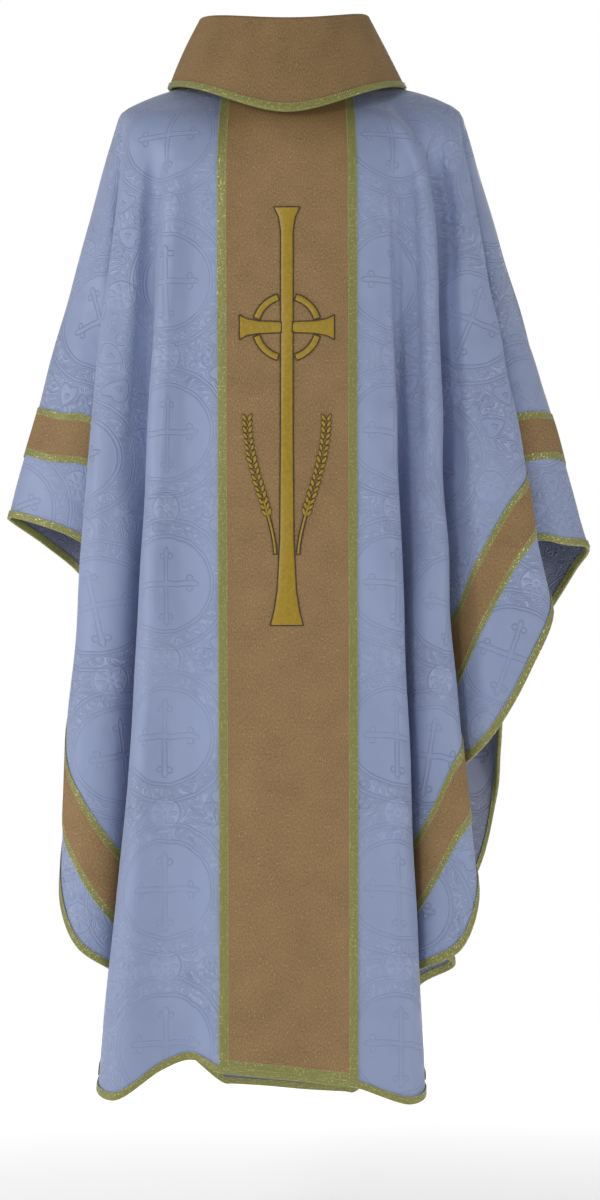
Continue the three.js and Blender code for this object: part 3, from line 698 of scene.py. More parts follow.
# The ends at the hem of each face's column: x and z of its edges, how far out, and z of its middle.
COLUMN_HEMS = {
    BACK: {"x": (-80, 86), "out": 182, "middle_z": -1206, "z": (-1196, -1214)},
    FRONT: {"x": (-82, 86), "out": 170, "middle_z": -1262, "z": (-1244, -1256)},
}
# The end of each arm's top line, at the wrist, and where the band crosses it.
WRISTS = {LEFT: ((-350, 10, -527), 0.79), RIGHT: ((379, 10, -566), 0.752)}


class Row(Enum):
    """Rows of the cloak's grid that something starts or ends at, counted from the neckline down."""

    NECK = 0
    YOKE = 12
    BAND_TOP = 58
    GOLD_TOP = 60
    GOLD_END = 66
    BAND_END = 68
    FOOT = 71
    BINDING = 73
    HEM = 75


class FoldLine:
    """One fold line: from the neckline over the yoke, then down to the hem."""

    def __init__(self, face: Face, side: Side, yoke: float, hem: tuple, bow: tuple, band: float) -> None:
        """Place the line.

        Args:
            face: the front or the back.
            side: the shoulder that it hangs from.
            yoke: its place on the yoke, in degrees.
            hem: its end, in millimetres.
            bow: how far it bends away from straight half way down.
            band: the share of its length where the side band crosses it, or 0.
        """
        self.yoke = self._yoke_point(face, side, math.radians(yoke))
        self.neck = self._neck_point(face, side, math.radians(yoke))
        self.hem = np.array(hem, float)
        self.bow = np.array(bow, float)
        self.band = band
        self.yoke_length = float(np.linalg.norm(self.neck - self.yoke))
        self.round = min(lerp(*SHOULDER_ROUND, math.sin(math.radians(yoke))), self.yoke_length * 0.8)
        self.arch = SHOULDER_ARCH * math.cos(math.radians(yoke)) ** 4
        self.length = float(np.linalg.norm(self.hem - self.yoke))

    @staticmethod
    def _yoke_point(face: Face, side: Side, turn: float) -> np.ndarray:
        """Find a point of the ring that lies over the shoulders, the chest and the shoulder blades."""
        along = max(math.cos(turn), 0.0) ** YOKE_POWER
        across = math.sin(turn) ** YOKE_POWER
        z = lerp(TIP_Z, face.yoke_z, across**2)
        return np.array([side.x * side.tip * along, face.y * face.yoke_depth * across, z])

    @staticmethod
    def _neck_point(face: Face, side: Side, turn: float) -> np.ndarray:
        """Find the point of the neckline that a fold line starts from."""
        edge_turn = math.acos((COLUMN_HALF_WIDTH / side.tip) ** (1 / YOKE_POWER))
        over_column = max(math.cos(turn), 0.0) ** YOKE_POWER * side.tip / COLUMN_HALF_WIDTH
        beside = math.cos(math.acos(NECK_COLUMN_SHARE) * turn / edge_turn)
        wide = beside if turn < edge_turn else NECK_COLUMN_SHARE * over_column
        deep = math.sqrt(max(0.0, 1 - wide * wide))
        z = lerp(NECK_SIDE_Z, face.neck_z, deep)
        return np.array([side.x * NECK_HALF_WIDTH * wide, face.y * face.neck_depth * deep, z])

    def at(self, distance: float) -> np.ndarray:
        """Find the point at a distance from the yoke, negative towards the neck."""
        if distance <= -self.round:
            return self._above(-distance)
        if distance < self.round:
            share = (distance + self.round) / (2 * self.round)
            before, after = self._above(self.round), self._below(self.round)
            return lerp(lerp(before, self.yoke, share), lerp(self.yoke, after, share), share)
        return self._below(distance)

    def _above(self, distance: float) -> np.ndarray:
        """Find a point between the yoke and the neck."""
        share = distance / self.yoke_length
        return lerp(self.yoke, self.neck, share) + np.array([0, 0, self.arch * 4 * share * (1 - share)])

    def _below(self, distance: float) -> np.ndarray:
        """Find a point of the long fall from the yoke to the hem."""
        share = distance / self.length
        return lerp(self.yoke, self.hem, share) + self.bow * 4 * share * (1 - share)

    def binding_height(self, before: "FoldLine", after: "FoldLine") -> float:
        """Tell how far up this line the hem binding reaches: further where the hem runs steeply."""
        down = unit(self.hem - self.yoke)
        square = [np.linalg.norm(np.cross(unit(n.hem - self.hem), down)) for n in (before, after)]
        return BINDING / max(sum(square) / 2, LEAST_SINE)

    def rows(self, crest: "FoldLine", binding_top: float) -> np.ndarray:
        """List the distances from the yoke of every grid row.

        Args:
            crest: the line along the top of the same arm, which the band's width is measured on.
            binding_top: where the hem binding starts.

        Returns:
            One distance for each row, from the neckline to the hem.
        """
        half = BAND_WIDTH / 2
        slant = min(self.band * self.length / (crest.band * crest.length), BAND_STRETCH)
        marks = []
        for i, offset in enumerate((-half, BAND_RIBBON - half, half - BAND_RIBBON, half)):
            under = 4 - i
            if self.band:
                marks.append(min(self.band * self.length + offset * slant, binding_top - 4 - under * 3))
            else:
                marks.append(binding_top - FOOT_RIBBON - under * 12)
        foot = lerp(marks[-1], binding_top, 0.5) if self.band else binding_top - FOOT_RIBBON
        places = [-self.yoke_length, 0.0, *marks, foot, binding_top, self.length]
        return np.interp(np.arange(Row.HEM.value + 1), [row.value for row in Row], places)


@dataclass(frozen=True)
class Crease:
    """A soft ridge or trough that runs down one face, between the fold lines or over them.

    Attributes:
        face: the front or the back.
        path: (z, x) along it, downwards.
        width: how wide it is, in millimetres.
        rise: how far it stands out, or in where it is negative.
    """

    face: Face
    path: tuple[tuple[float, float], ...]
    width: float
    rise: float

    def height(self, points: np.ndarray) -> np.ndarray:
        """Work out how far the crease moves each point along the cloth's normal."""
        z, x = np.array(self.path, float).T
        off = points[..., 0] - np.interp(-points[..., 2], -z, x)
        share = (z[0] - points[..., 2]) / (z[0] - z[-1])
        fade = np.clip(np.minimum(share, 1 - share) * 5, 0, 1)
        return self.rise * fade * fade * (3 - 2 * fade) * np.exp(-((off / (self.width / 2)) ** 2))


CREASES = (
    # Left half of the back: a slanting ridge with a hollow either side.
    Crease(BACK, ((-30, -98), (-63, -106), (-121, -138), (-377, -159), (-700, -168)), 24, 6),
    Crease(BACK, ((-40, -84), (-121, -108), (-377, -126), (-700, -130)), 40, -6),
    Crease(BACK, ((-40, -124), (-121, -164), (-377, -186), (-560, -196)), 26, -6),
    Crease(BACK, ((-120, -214), (-300, -222), (-620, -236)), 22, 4),
    Crease(BACK, ((-700, -147), (-940, -150), (-1080, -156), (-1190, -165)), 56, -9),
    # Right half: a valley from the collar's corner, a ridge along it and narrow ridges below.
    Crease(BACK, ((8, 108), (-44, 157), (-83, 179), (-142, 195), (-250, 201)), 24, -11),
    Crease(BACK, ((0, 104), (-20, 124), (-63, 146), (-99, 163), (-191, 176), (-480, 180)), 18, 6),
    Crease(BACK, ((-60, 146), (-150, 156), (-480, 160)), 16, -5),
    Crease(BACK, ((-100, 130), (-480, 136)), 20, 4),
    Crease(BACK, ((-60, 214), (-480, 224)), 18, 4),
    Crease(BACK, ((-620, 122), (-900, 118), (-1180, 120)), 44, -5),
    # The front, which hangs the same way.
    Crease(FRONT, ((-40, -106), (-140, -134), (-420, -152), (-900, -160)), 30, 6),
    Crease(FRONT, ((-60, -140), (-200, -172), (-700, -190)), 26, -6),
    Crease(FRONT, ((0, 112), (-60, 150), (-150, 178), (-520, 190)), 20, -9),
    Crease(FRONT, ((-80, 128), (-400, 140), (-900, 146)), 26, 5),
)


@dataclass
class Cloak:
    """The cloth of the cloak as one closed grid of points round the body.

    Attributes:
        steps: the most grid columns from one fold line to the next.
        least_steps: the fewest.
        spacing: how far apart the columns are at the hem, in millimetres.
        ripple: how far the cloth's gentle unevenness moves it, in millimetres.
        waves: how many waves make up that unevenness.
        pattern_at: for each side, the x of the figure's first roundel on the cut cloth.
        pattern_down: how far below the yoke a roundel lies.
    """

    steps: int = 8
    least_steps: int = 3
    spacing: float = 5
    ripple: float = 1.3
    waves: int = 14
    pattern_at: dict = field(default_factory=lambda: {-1: -152.0, 1: 133.0})
    pattern_down: float = 722.0

    def __post_init__(self) -> None:
        """Work out the fold lines and the grid."""
        self.crests = {}
        for side, (end, band) in WRISTS.items():
            self.crests[side] = FoldLine(FRONT, side, 0, end, (0, 6, 0), band)
        halves = {key: [self._fold(*key, row) for row in table] for key, table in FOLDS.items()}
        self.column_lines = {BACK: self._column_lines(BACK), FRONT: self._column_lines(FRONT)[::-1]}
        self.halves = halves
        self.lines = [
            self.crests[LEFT], *halves[BACK, LEFT], *self.column_lines[BACK], *halves[BACK, RIGHT][::-1],
            self.crests[RIGHT], *halves[FRONT, RIGHT], *self.column_lines[FRONT], *halves[FRONT, LEFT][::-1],
        ]
        self._lay_flat()
        self._fill_grid()

    @staticmethod
    def _fold(face: Face, side: Side, row: tuple) -> FoldLine:
        """Make the fold line of one table row."""
        yoke, across, out, z, bow_side, bow_out, band = row
        hem = (side.x * across, face.y * out, z)
        return FoldLine(face, side, yoke, hem, (side.x * bow_side, face.y * bow_out, 0), band)

    @staticmethod
    def _column_lines(face: Face) -> list[FoldLine]:
        """Make the lines at the middle of a face: the column's edges, its ribbons' and the middle."""
        hem = COLUMN_HEMS[face]
        inner = COLUMN_HALF_WIDTH - COLUMN_RIBBON
        lines = []
        for x in (-COLUMN_HALF_WIDTH, -inner, -inner / 2, 0, inner / 2, inner, COLUMN_HALF_WIDTH):
            side = LEFT if x < 0 else RIGHT
            yoke = math.degrees(math.acos((abs(x) / side.tip) ** (1 / YOKE_POWER)))
            share = (x + COLUMN_HALF_WIDTH) / (2 * COLUMN_HALF_WIDTH)
            z = hem["middle_z"] + lerp(*hem["z"], share) - lerp(*hem["z"], 0.5)
            end = (lerp(*hem["x"], share), face.y * hem["out"], z)
            lines.append(FoldLine(face, side, yoke, end, (0, 0, 0), 0))
        return lines

    def _lay_flat(self) -> None:
        """Unroll each half of each face onto the cut cloth, line by line from its column outwards."""
        count = len(self.lines)
        self.flat_yoke = np.zeros((count, 2))
        self.flat_hem = np.zeros((count, 2))
        self.flat_crest = {}
        for face in (BACK, FRONT):
            for side in (LEFT, RIGHT):
                column = sorted(self.column_lines[face], key=lambda line: side.x * line.yoke[0])
                chain = [*column[3:], *self.halves[face, side][::-1], self.crests[side]]
                yoke, hem = np.array([0.0, 0.0]), np.array([0.0, -chain[0].length])
                for before, line in zip([chain[0], *chain], chain):
                    if line is not before:
                        diagonal = np.linalg.norm(line.hem - before.yoke)
                        edge = np.linalg.norm(line.hem - before.hem)
                        next_hem = apex(yoke, hem, diagonal, edge, side.x)
                        across = np.linalg.norm(line.yoke - before.yoke)
                        yoke = apex(yoke, next_hem, across, line.length, side.x)
                        hem = next_hem
                    if line is chain[-1]:
                        self.flat_crest[face, side] = (yoke, hem)
                    else:
                        k = self.lines.index(line)
                        self.flat_yoke[k], self.flat_hem[k] = yoke, hem

    def _flat_line(self, k: int, face: Face) -> tuple[np.ndarray, np.ndarray]:
        """Give the flat ends of a line. The lines along the arms belong to both faces."""
        line = self.lines[k % len(self.lines)]
        for side, crest in self.crests.items():
            if line is crest:
                return self.flat_crest[face, side]
        return self.flat_yoke[k % len(self.lines)], self.flat_hem[k % len(self.lines)]

    def _fill_grid(self) -> None:
        """Fill in grid columns between the fold lines, and roughen the cloth."""
        count = len(self.lines)
        tables, distances = [], []
        for k, line in enumerate(self.lines):
            crest = self.crests[LEFT if line.yoke[0] < 0 else RIGHT]
            before, after = self.lines[k - 1], self.lines[(k + 1) % count]
            rows = line.rows(crest, line.length - line.binding_height(before, after))
            distances.append(rows)
            tables.append(np.array([line.at(d) for d in rows]))
        points, flats, self.starts = [], [], []
        for k in range(count):
            self.starts.append(len(points))
            a, b, c, d = (tables[(k + n) % count] for n in (-1, 0, 1, 2))
            gap = np.linalg.norm(b[-1] - c[-1])
            steps = int(np.clip(round(gap / self.spacing), self.least_steps, self.steps))
            face = BACK if k < self.lines.index(self.crests[RIGHT]) else FRONT
            yoke_a, hem_a = self._flat_line(k, face)
            yoke_b, hem_b = self._flat_line(k + 1, face)
            share_a = distances[k] / self.lines[k].length
            share_b = distances[(k + 1) % count] / self.lines[(k + 1) % count].length
            for s in range(steps):
                t = s / steps
                points.append(smooth(a, b, c, d, t))
                share = lerp(share_a, share_b, t)[:, None]
                flats.append(lerp(lerp(yoke_a, yoke_b, t), lerp(hem_a, hem_b, t), share))
        self.total = len(points)
        self.flat = np.array(flats)
        even = np.array(points)
        self.points = even + self._relief(even)[..., None] * self._normals(even)
        self.normals = self._normals(self.points)

    @staticmethod
    def _normals(points: np.ndarray) -> np.ndarray:
        """Work out the outward normals of a closed grid."""
        across = np.roll(points, -1, 0) - np.roll(points, 1, 0)
        down = np.gradient(points, axis=1)
        return unit(np.cross(down, across))

    def _relief(self, even: np.ndarray) -> np.ndarray:
        """Work out how far each grid point stands off the even cloth: a ripple, and the creases."""
        random = np.random.default_rng(SEED)
        u, v = self.flat[..., 0], self.flat[..., 1]
        relief = np.zeros(u.shape)
        for _ in range(self.waves):
            wave, turn = random.uniform(70, 240), random.normal(0, 0.5)
            phase = random.uniform(0, math.tau)
            relief += np.sin((u * math.cos(turn) + v * math.sin(turn)) * math.tau / wave + phase)
        relief *= self.ripple / 3
        back = np.arange(self.total) < self.starts[self.lines.index(self.crests[RIGHT])]
        for crease in CREASES:
            on_face = back if crease.face is BACK else ~back
            relief += crease.height(even) * on_face[:, None]
        rows = np.arange(u.shape[1])
        return relief * np.clip((rows - 1) / 6, 0, 1)

    def column_of(self, line: FoldLine) -> int:
        """Tell which grid column a fold line lies on."""
        return self.starts[self.lines.index(line)]


def apex(p: np.ndarray, q: np.ndarray, from_p: float, from_q: float, side: int) -> np.ndarray:
    """Find a triangle's third corner.

    Args:
        p: the upper corner.
        q: the lower corner.
        from_p: distance of the third corner from p.
        from_q: its distance from q.
        side: the sign of the x to which it lies.

    Returns:
        The corner. Where the lengths can't close, it lies on the line through p and q.
    """
    base = np.linalg.norm(q - p)
    along = (from_p**2 - from_q**2 + base**2) / (2 * base)
    off = math.sqrt(max(from_p**2 - along**2, 0.0))
    run = (q - p) / base
    return p + run * along + np.array([-run[1], run[0]]) * off * side


def smooth(a: np.ndarray, b: np.ndarray, c: np.ndarray, d: np.ndarray, t: float) -> np.ndarray:
    """Find points on smooth curves from b to c.

    Args:
        a: the points before b.
        b: where the curves start.
        c: where they end.
        d: the points after c.
        t: the share of the way from b to c.

    Returns:
        A point of each curve.
    """
    knots = [np.zeros(len(a))]
    for p, q in ((a, b), (b, c), (c, d)):
        knots.append(knots[-1] + np.maximum(1e-3, np.sqrt(np.linalg.norm(q - p, axis=1))))
    k0, k1, k2, k3 = (knot[:, None] for knot in knots)
    k = lerp(k1, k2, t)
    spans = ((a, b, k0, k1), (b, c, k1, k2), (c, d, k2, k3))
    ab, bc, cd = (lerp(p, q, (k - low) / (high - low)) for p, q, low, high in spans)
    return lerp(lerp(ab, bc, (k - k0) / (k2 - k0)), lerp(bc, cd, (k - k1) / (k3 - k1)), (k - k1) / (k2 - k1))


# ---- Pieces -------------------------------------------------------------------------------------


class Slot(Enum):
    """The record's material slots."""

    DAMASK = "damask"
    GOLD = "gold_cloth"
    RIBBON = "ribbon"
    EMBROIDERY = "embroidery"


def seat(piece: bpy.types.Object, slot: Slot, material: bpy.types.Material, *nodes: str) -> bpy.types.Object:
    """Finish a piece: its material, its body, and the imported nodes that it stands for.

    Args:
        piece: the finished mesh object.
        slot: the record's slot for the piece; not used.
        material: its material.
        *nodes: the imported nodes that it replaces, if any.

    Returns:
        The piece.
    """
    if not piece.data.materials:
        piece.data.materials.append(material)
    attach(piece, "root")
    if nodes:
        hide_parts(*nodes)
    log.info("%-34s %7d faces", piece.name, len(piece.data.polygons))
    return piece


@dataclass(frozen=True)
class Patch:
    """A stretch of the cloak's grid, with its cut edges drawn in by half a seam.

    Attributes:
        cloak: the cloth's grid.
        start, end: its first and last grid column, counted to the right as seen from outside.
        top, bottom: its first and last row.
    """

    cloak: Cloak
    start: int
    end: int
    top: int
    bottom: int

    @cached_property
    def columns(self) -> np.ndarray:
        """The grid columns."""
        return np.arange(self.start, self.end + 1) % self.cloak.total

    @cached_property
    def rows(self) -> np.ndarray:
        """The grid rows."""
        return np.arange(self.top, self.bottom + 1)

    @cached_property
    def cloth(self) -> np.ndarray:
        """The points of the cloth's middle."""
        points = self.cloak.points[np.ix_(self.columns, self.rows)].copy()
        even = points.copy()
        half = SEAM / 2
        points[0] += unit(even[1] - even[0]) * half
        points[-1] += unit(even[-2] - even[-1]) * half
        if self.top > 0:
            points[:, 0] += unit(even[:, 1] - even[:, 0]) * half
        if self.bottom < Row.HEM.value:
            points[:, -1] += unit(even[:, -2] - even[:, -1]) * half
        return points

    @cached_property
    def normals(self) -> np.ndarray:
        """The outward normals."""
        return self.cloak.normals[np.ix_(self.columns, self.rows)]

    @cached_property
    def flat(self) -> np.ndarray:
        """The places on the cut cloth. The last column's is carried on, as it may be the other face's."""
        spots = self.cloak.flat[np.ix_(self.columns, self.rows)].copy()
        if len(spots) > 2:
            spots[-1] = 2 * spots[-2] - spots[-3]
        return spots

    def raised(self, height: float) -> np.ndarray:
        """Give the points at a height off the cloth."""
        return self.cloth + self.normals * height

    def flat_area(self) -> float:
        """Work out the area of the cut cloth, in square metres."""
        a, b, c, d = self.flat[:-1, :-1], self.flat[1:, :-1], self.flat[1:, 1:], self.flat[:-1, 1:]
        p, q = c - a, d - b
        return float(np.abs(p[..., 0] * q[..., 1] - p[..., 1] * q[..., 0]).sum() / 2) * MM**2

    def flat_size(self) -> tuple[float, float]:
        """Work out the width and length of the cut cloth, in metres."""
        spots = self.flat.reshape(-1, 2)
        return tuple(float(s) for s in (spots.max(0) - spots.min(0)) * MM)

    def strip_size(self, down: bool) -> tuple[float, float]:
        """Work out the width and length of a long strip, in metres.

        Args:
            down: whether the strip's length runs down the rows, not along the columns.

        Returns:
            The width that gives its flat area, and the length along its middle.
        """
        grid = self.cloth if down else self.cloth.transpose(1, 0, 2)
        length = float(run_lengths(grid[len(grid) // 2])[-1]) * MM
        return self.flat_area() / length, length

    def wall(self, name: str, low: float, high: float, uv: np.ndarray | None = None) -> bpy.types.Object:
        """Make a wall from one height off the cloth to another."""
        return wall(name, self.raised(high), self.raised(low), self.flat if uv is None else uv)


def folded(
    name: str, above: np.ndarray, edge: np.ndarray, normals: tuple[np.ndarray, np.ndarray], half_wall: float,
    uv: np.ndarray, ring: bool = False,
) -> bpy.types.Object:
    """Make a strip that is folded round an edge.

    Args:
        name: the piece's name.
        above: points of the cloth's middle where the strip ends.
        edge: points of the cloth's middle at its edge.
        normals: outward normals at above and at edge.
        half_wall: half the thickness of what it is folded round.
        uv: place of each point on the cut strip, its length in the first number.
        ring: whether the strip closes on itself.

    Returns:
        The strip's object.
    """
    along = unit(edge - above)
    before, after = np.roll(edge, 1, 0) - edge, np.roll(edge, -1, 0) - edge
    if not ring:
        before[0], after[-1] = after[0], before[-1]
    square = sum(np.linalg.norm(np.cross(unit(run), along), axis=1) for run in (before, after)) / 2
    outwards = along / np.maximum(square, 0.2)[:, None]
    turns = np.radians(np.linspace(90, -90, 9))

    def path(reach: float, half: float) -> np.ndarray:
        """Follow the fold at a distance from the cloth: down one side, round the edge, up the other."""
        start = above + along * SEAM / 2
        rows = [start + normals[0] * half]
        rows += [edge + outwards * reach * math.cos(t) + normals[1] * half * math.sin(t) for t in turns]
        rows += [start - normals[0] * half]
        return np.stack(rows, axis=1)

    gap = half_wall + FOLDED_LIFT
    outer = path(FOLDED_LIFT + RIBBON, gap + RIBBON)
    across = run_lengths(outer[len(outer) // 2])
    spots = np.stack(np.broadcast_arrays(uv[:, None], across[None]), -1)
    return wall(name, outer, path(FOLDED_LIFT, gap), spots, ring)


@dataclass(frozen=True)
class StitchRun:
    """Stitches, or anything else that repeats along a line, laid by Geometry Nodes.

    Attributes:
        pitch: from one stitch to the next, in millimetres.
        size: length, width and height of a stitch.
        slant: how far each is turned off the line, in degrees.
        turn_spread: how unevenly they are turned, in radians.
        size_spread: how unevenly they are sized, as a share.
    """

    pitch: float
    size: tuple[float, float, float]
    slant: float = 0.0
    turn_spread: ClassVar[float] = 0.08
    size_spread: ClassVar[float] = 0.12

    @classmethod
    def tree(cls) -> bpy.types.NodeTree:
        """Build the node tree once: points along each line, a bead on each, all one mesh."""
        if "stitch_run" in bpy.data.node_groups:
            return bpy.data.node_groups["stitch_run"]
        tree = bpy.data.node_groups.new("stitch_run", "GeometryNodeTree")
        face = tree.interface
        face.new_socket("Geometry", in_out="OUTPUT", socket_type="NodeSocketGeometry")
        for name, kind in (
            ("Geometry", "Geometry"), ("Pitch", "Float"), ("Size", "Vector"), ("Slant", "Float"),
            ("Seed", "Int"), ("Thread", "Material"),
        ):
            face.new_socket(name, in_out="INPUT", socket_type=f"NodeSocket{kind}")
        given = add_node(tree, "NodeGroupInput").outputs
        curve = add_node(tree, "GeometryNodeMeshToCurve", {"Mesh": given["Geometry"]})
        spaced = add_node(
            tree, "GeometryNodeResampleCurve", {"Curve": curve.outputs["Curve"], "Length": given["Pitch"]},
            mode="LENGTH",
        )
        lift = add_node(tree, "GeometryNodeInputNamedAttribute", {"Name": "lift"}, data_type="FLOAT_VECTOR")
        tangent = add_node(tree, "GeometryNodeInputTangent")
        lie = add_node(
            tree, "FunctionNodeAxesToRotation",
            {"Primary Axis": lift.outputs["Attribute"], "Secondary Axis": tangent.outputs["Tangent"]},
            primary_axis="Z", secondary_axis="X",
        )
        jitter = add_node(
            tree, "FunctionNodeRandomValue",
            {"Min": -cls.turn_spread, "Max": cls.turn_spread, "Seed": given["Seed"]},
            data_type="FLOAT",
        )
        terms = {0: given["Slant"], 1: float_output(jitter)}
        angle = add_node(tree, "ShaderNodeMath", terms, operation="ADD")
        euler = add_node(tree, "ShaderNodeCombineXYZ", {"Z": angle.outputs[0]})
        turned = add_node(
            tree, "FunctionNodeRotateRotation",
            {"Rotation": lie.outputs["Rotation"], "Rotate By": euler.outputs["Vector"]},
            rotation_space="LOCAL",
        )
        swell = add_node(
            tree, "FunctionNodeRandomValue",
            {"Min": 1 - cls.size_spread, "Max": 1 + cls.size_spread, "Seed": given["Seed"]},
            data_type="FLOAT",
        )
        size = add_node(
            tree, "ShaderNodeVectorMath", {0: given["Size"], "Scale": float_output(swell)}, operation="SCALE"
        )
        bead = add_node(tree, "GeometryNodeMeshUVSphere", {"Segments": 6, "Rings": 3, "Radius": 0.5})
        laid = add_node(
            tree, "GeometryNodeInstanceOnPoints",
            {
                "Points": spaced.outputs["Curve"], "Instance": bead.outputs["Mesh"],
                "Rotation": turned.outputs["Rotation"], "Scale": size.outputs["Vector"],
            },
        )
        real = add_node(tree, "GeometryNodeRealizeInstances", {"Geometry": laid.outputs["Instances"]})
        even = add_node(tree, "GeometryNodeSetShadeSmooth", {"Geometry": real.outputs["Geometry"]})
        dyed = add_node(
            tree, "GeometryNodeSetMaterial",
            {"Geometry": even.outputs["Geometry"], "Material": given["Thread"]},
        )
        add_node(tree, "NodeGroupOutput", {"Geometry": dyed.outputs["Geometry"]})
        return tree

    def sew(
        self, name: str, lines: list[tuple[np.ndarray, np.ndarray]], thread: bpy.types.Material
    ) -> bpy.types.Object:
        """Sew along lines.

        Args:
            name: the piece's name.
            lines: for each line its points, in millimetres, and the cloth's normals there.
            thread: the stitches' material.

        Returns:
            One mesh object with every stitch.
        """
        edges, first = [], 0
        for points, _ in lines:
            edges += [(first + i, first + i + 1) for i in range(len(points) - 1)]
            first += len(points)
        mesh = bpy.data.meshes.new(name)
        mesh.from_pydata((np.concatenate([p for p, _ in lines]) * MM).tolist(), edges, [])
        lift = mesh.attributes.new("lift", "FLOAT_VECTOR", "POINT")
        lift.data.foreach_set("vector", np.concatenate([n for _, n in lines]).astype(np.float32).ravel())
        guide = bpy.data.objects.new(f"{name}_guide", mesh)
        bpy.context.scene.collection.objects.link(guide)
        modifier = guide.modifiers.new("stitches", "NODES")
        modifier.node_group = self.tree()
        values = {
            "Pitch": self.pitch * MM, "Size": [s * MM for s in self.size],
            "Slant": math.radians(self.slant), "Seed": SEED, "Thread": thread,
        }
        for item in modifier.node_group.interface.items_tree:
            if item.in_out == "INPUT" and item.name in values:
                modifier[item.identifier] = values[item.name]
        ready = guide.evaluated_get(bpy.context.evaluated_depsgraph_get())
        piece = bpy.data.objects.new(name, bpy.data.meshes.new_from_object(ready))
        bpy.data.objects.remove(guide)
        bpy.context.scene.collection.objects.link(piece)
        return piece


def float_output(node: bpy.types.Node) -> bpy.types.NodeSocket:
    """Pick the output of a Random Value node that is switched to numbers."""
    return next(s for s in node.outputs if s.enabled)


@dataclass
class Wardrobe:
    """Every material, built once."""

    damask: bpy.types.Material = field(default_factory=lambda: SilkDamask().material())
    reverse: bpy.types.Material = field(default_factory=lambda: DAMASK_REVERSE.material())
    brocade: bpy.types.Material = field(default_factory=lambda: GoldBrocade().material())
    ribbon: bpy.types.Material = field(default_factory=lambda: GiltRibbon().material())
    # The second colour of each thread is its painted gleam.
    satin: bpy.types.Material = field(
        default_factory=lambda: Thread("yellow_floss", "#86700a", "#b8940a", 0.4).material()
    )
    outline: bpy.types.Material = field(
        default_factory=lambda: Thread("brown_outline", "#2f1e0c", "#4d3718", 0.6).material()
    )
    gilt: bpy.types.Material = field(
        default_factory=lambda: Thread("gilt_thread", "#8f8a48", "#dad49c", 0.3).material()
    )


EDGE_STITCH = StitchRun(pitch=3.4, size=(3.0, 1.0, 0.8), slant=24)  # whips a ribbon's edge down
SUNK = 0.8  # share of a ribbon's thickness at which the stitches of its edge lie


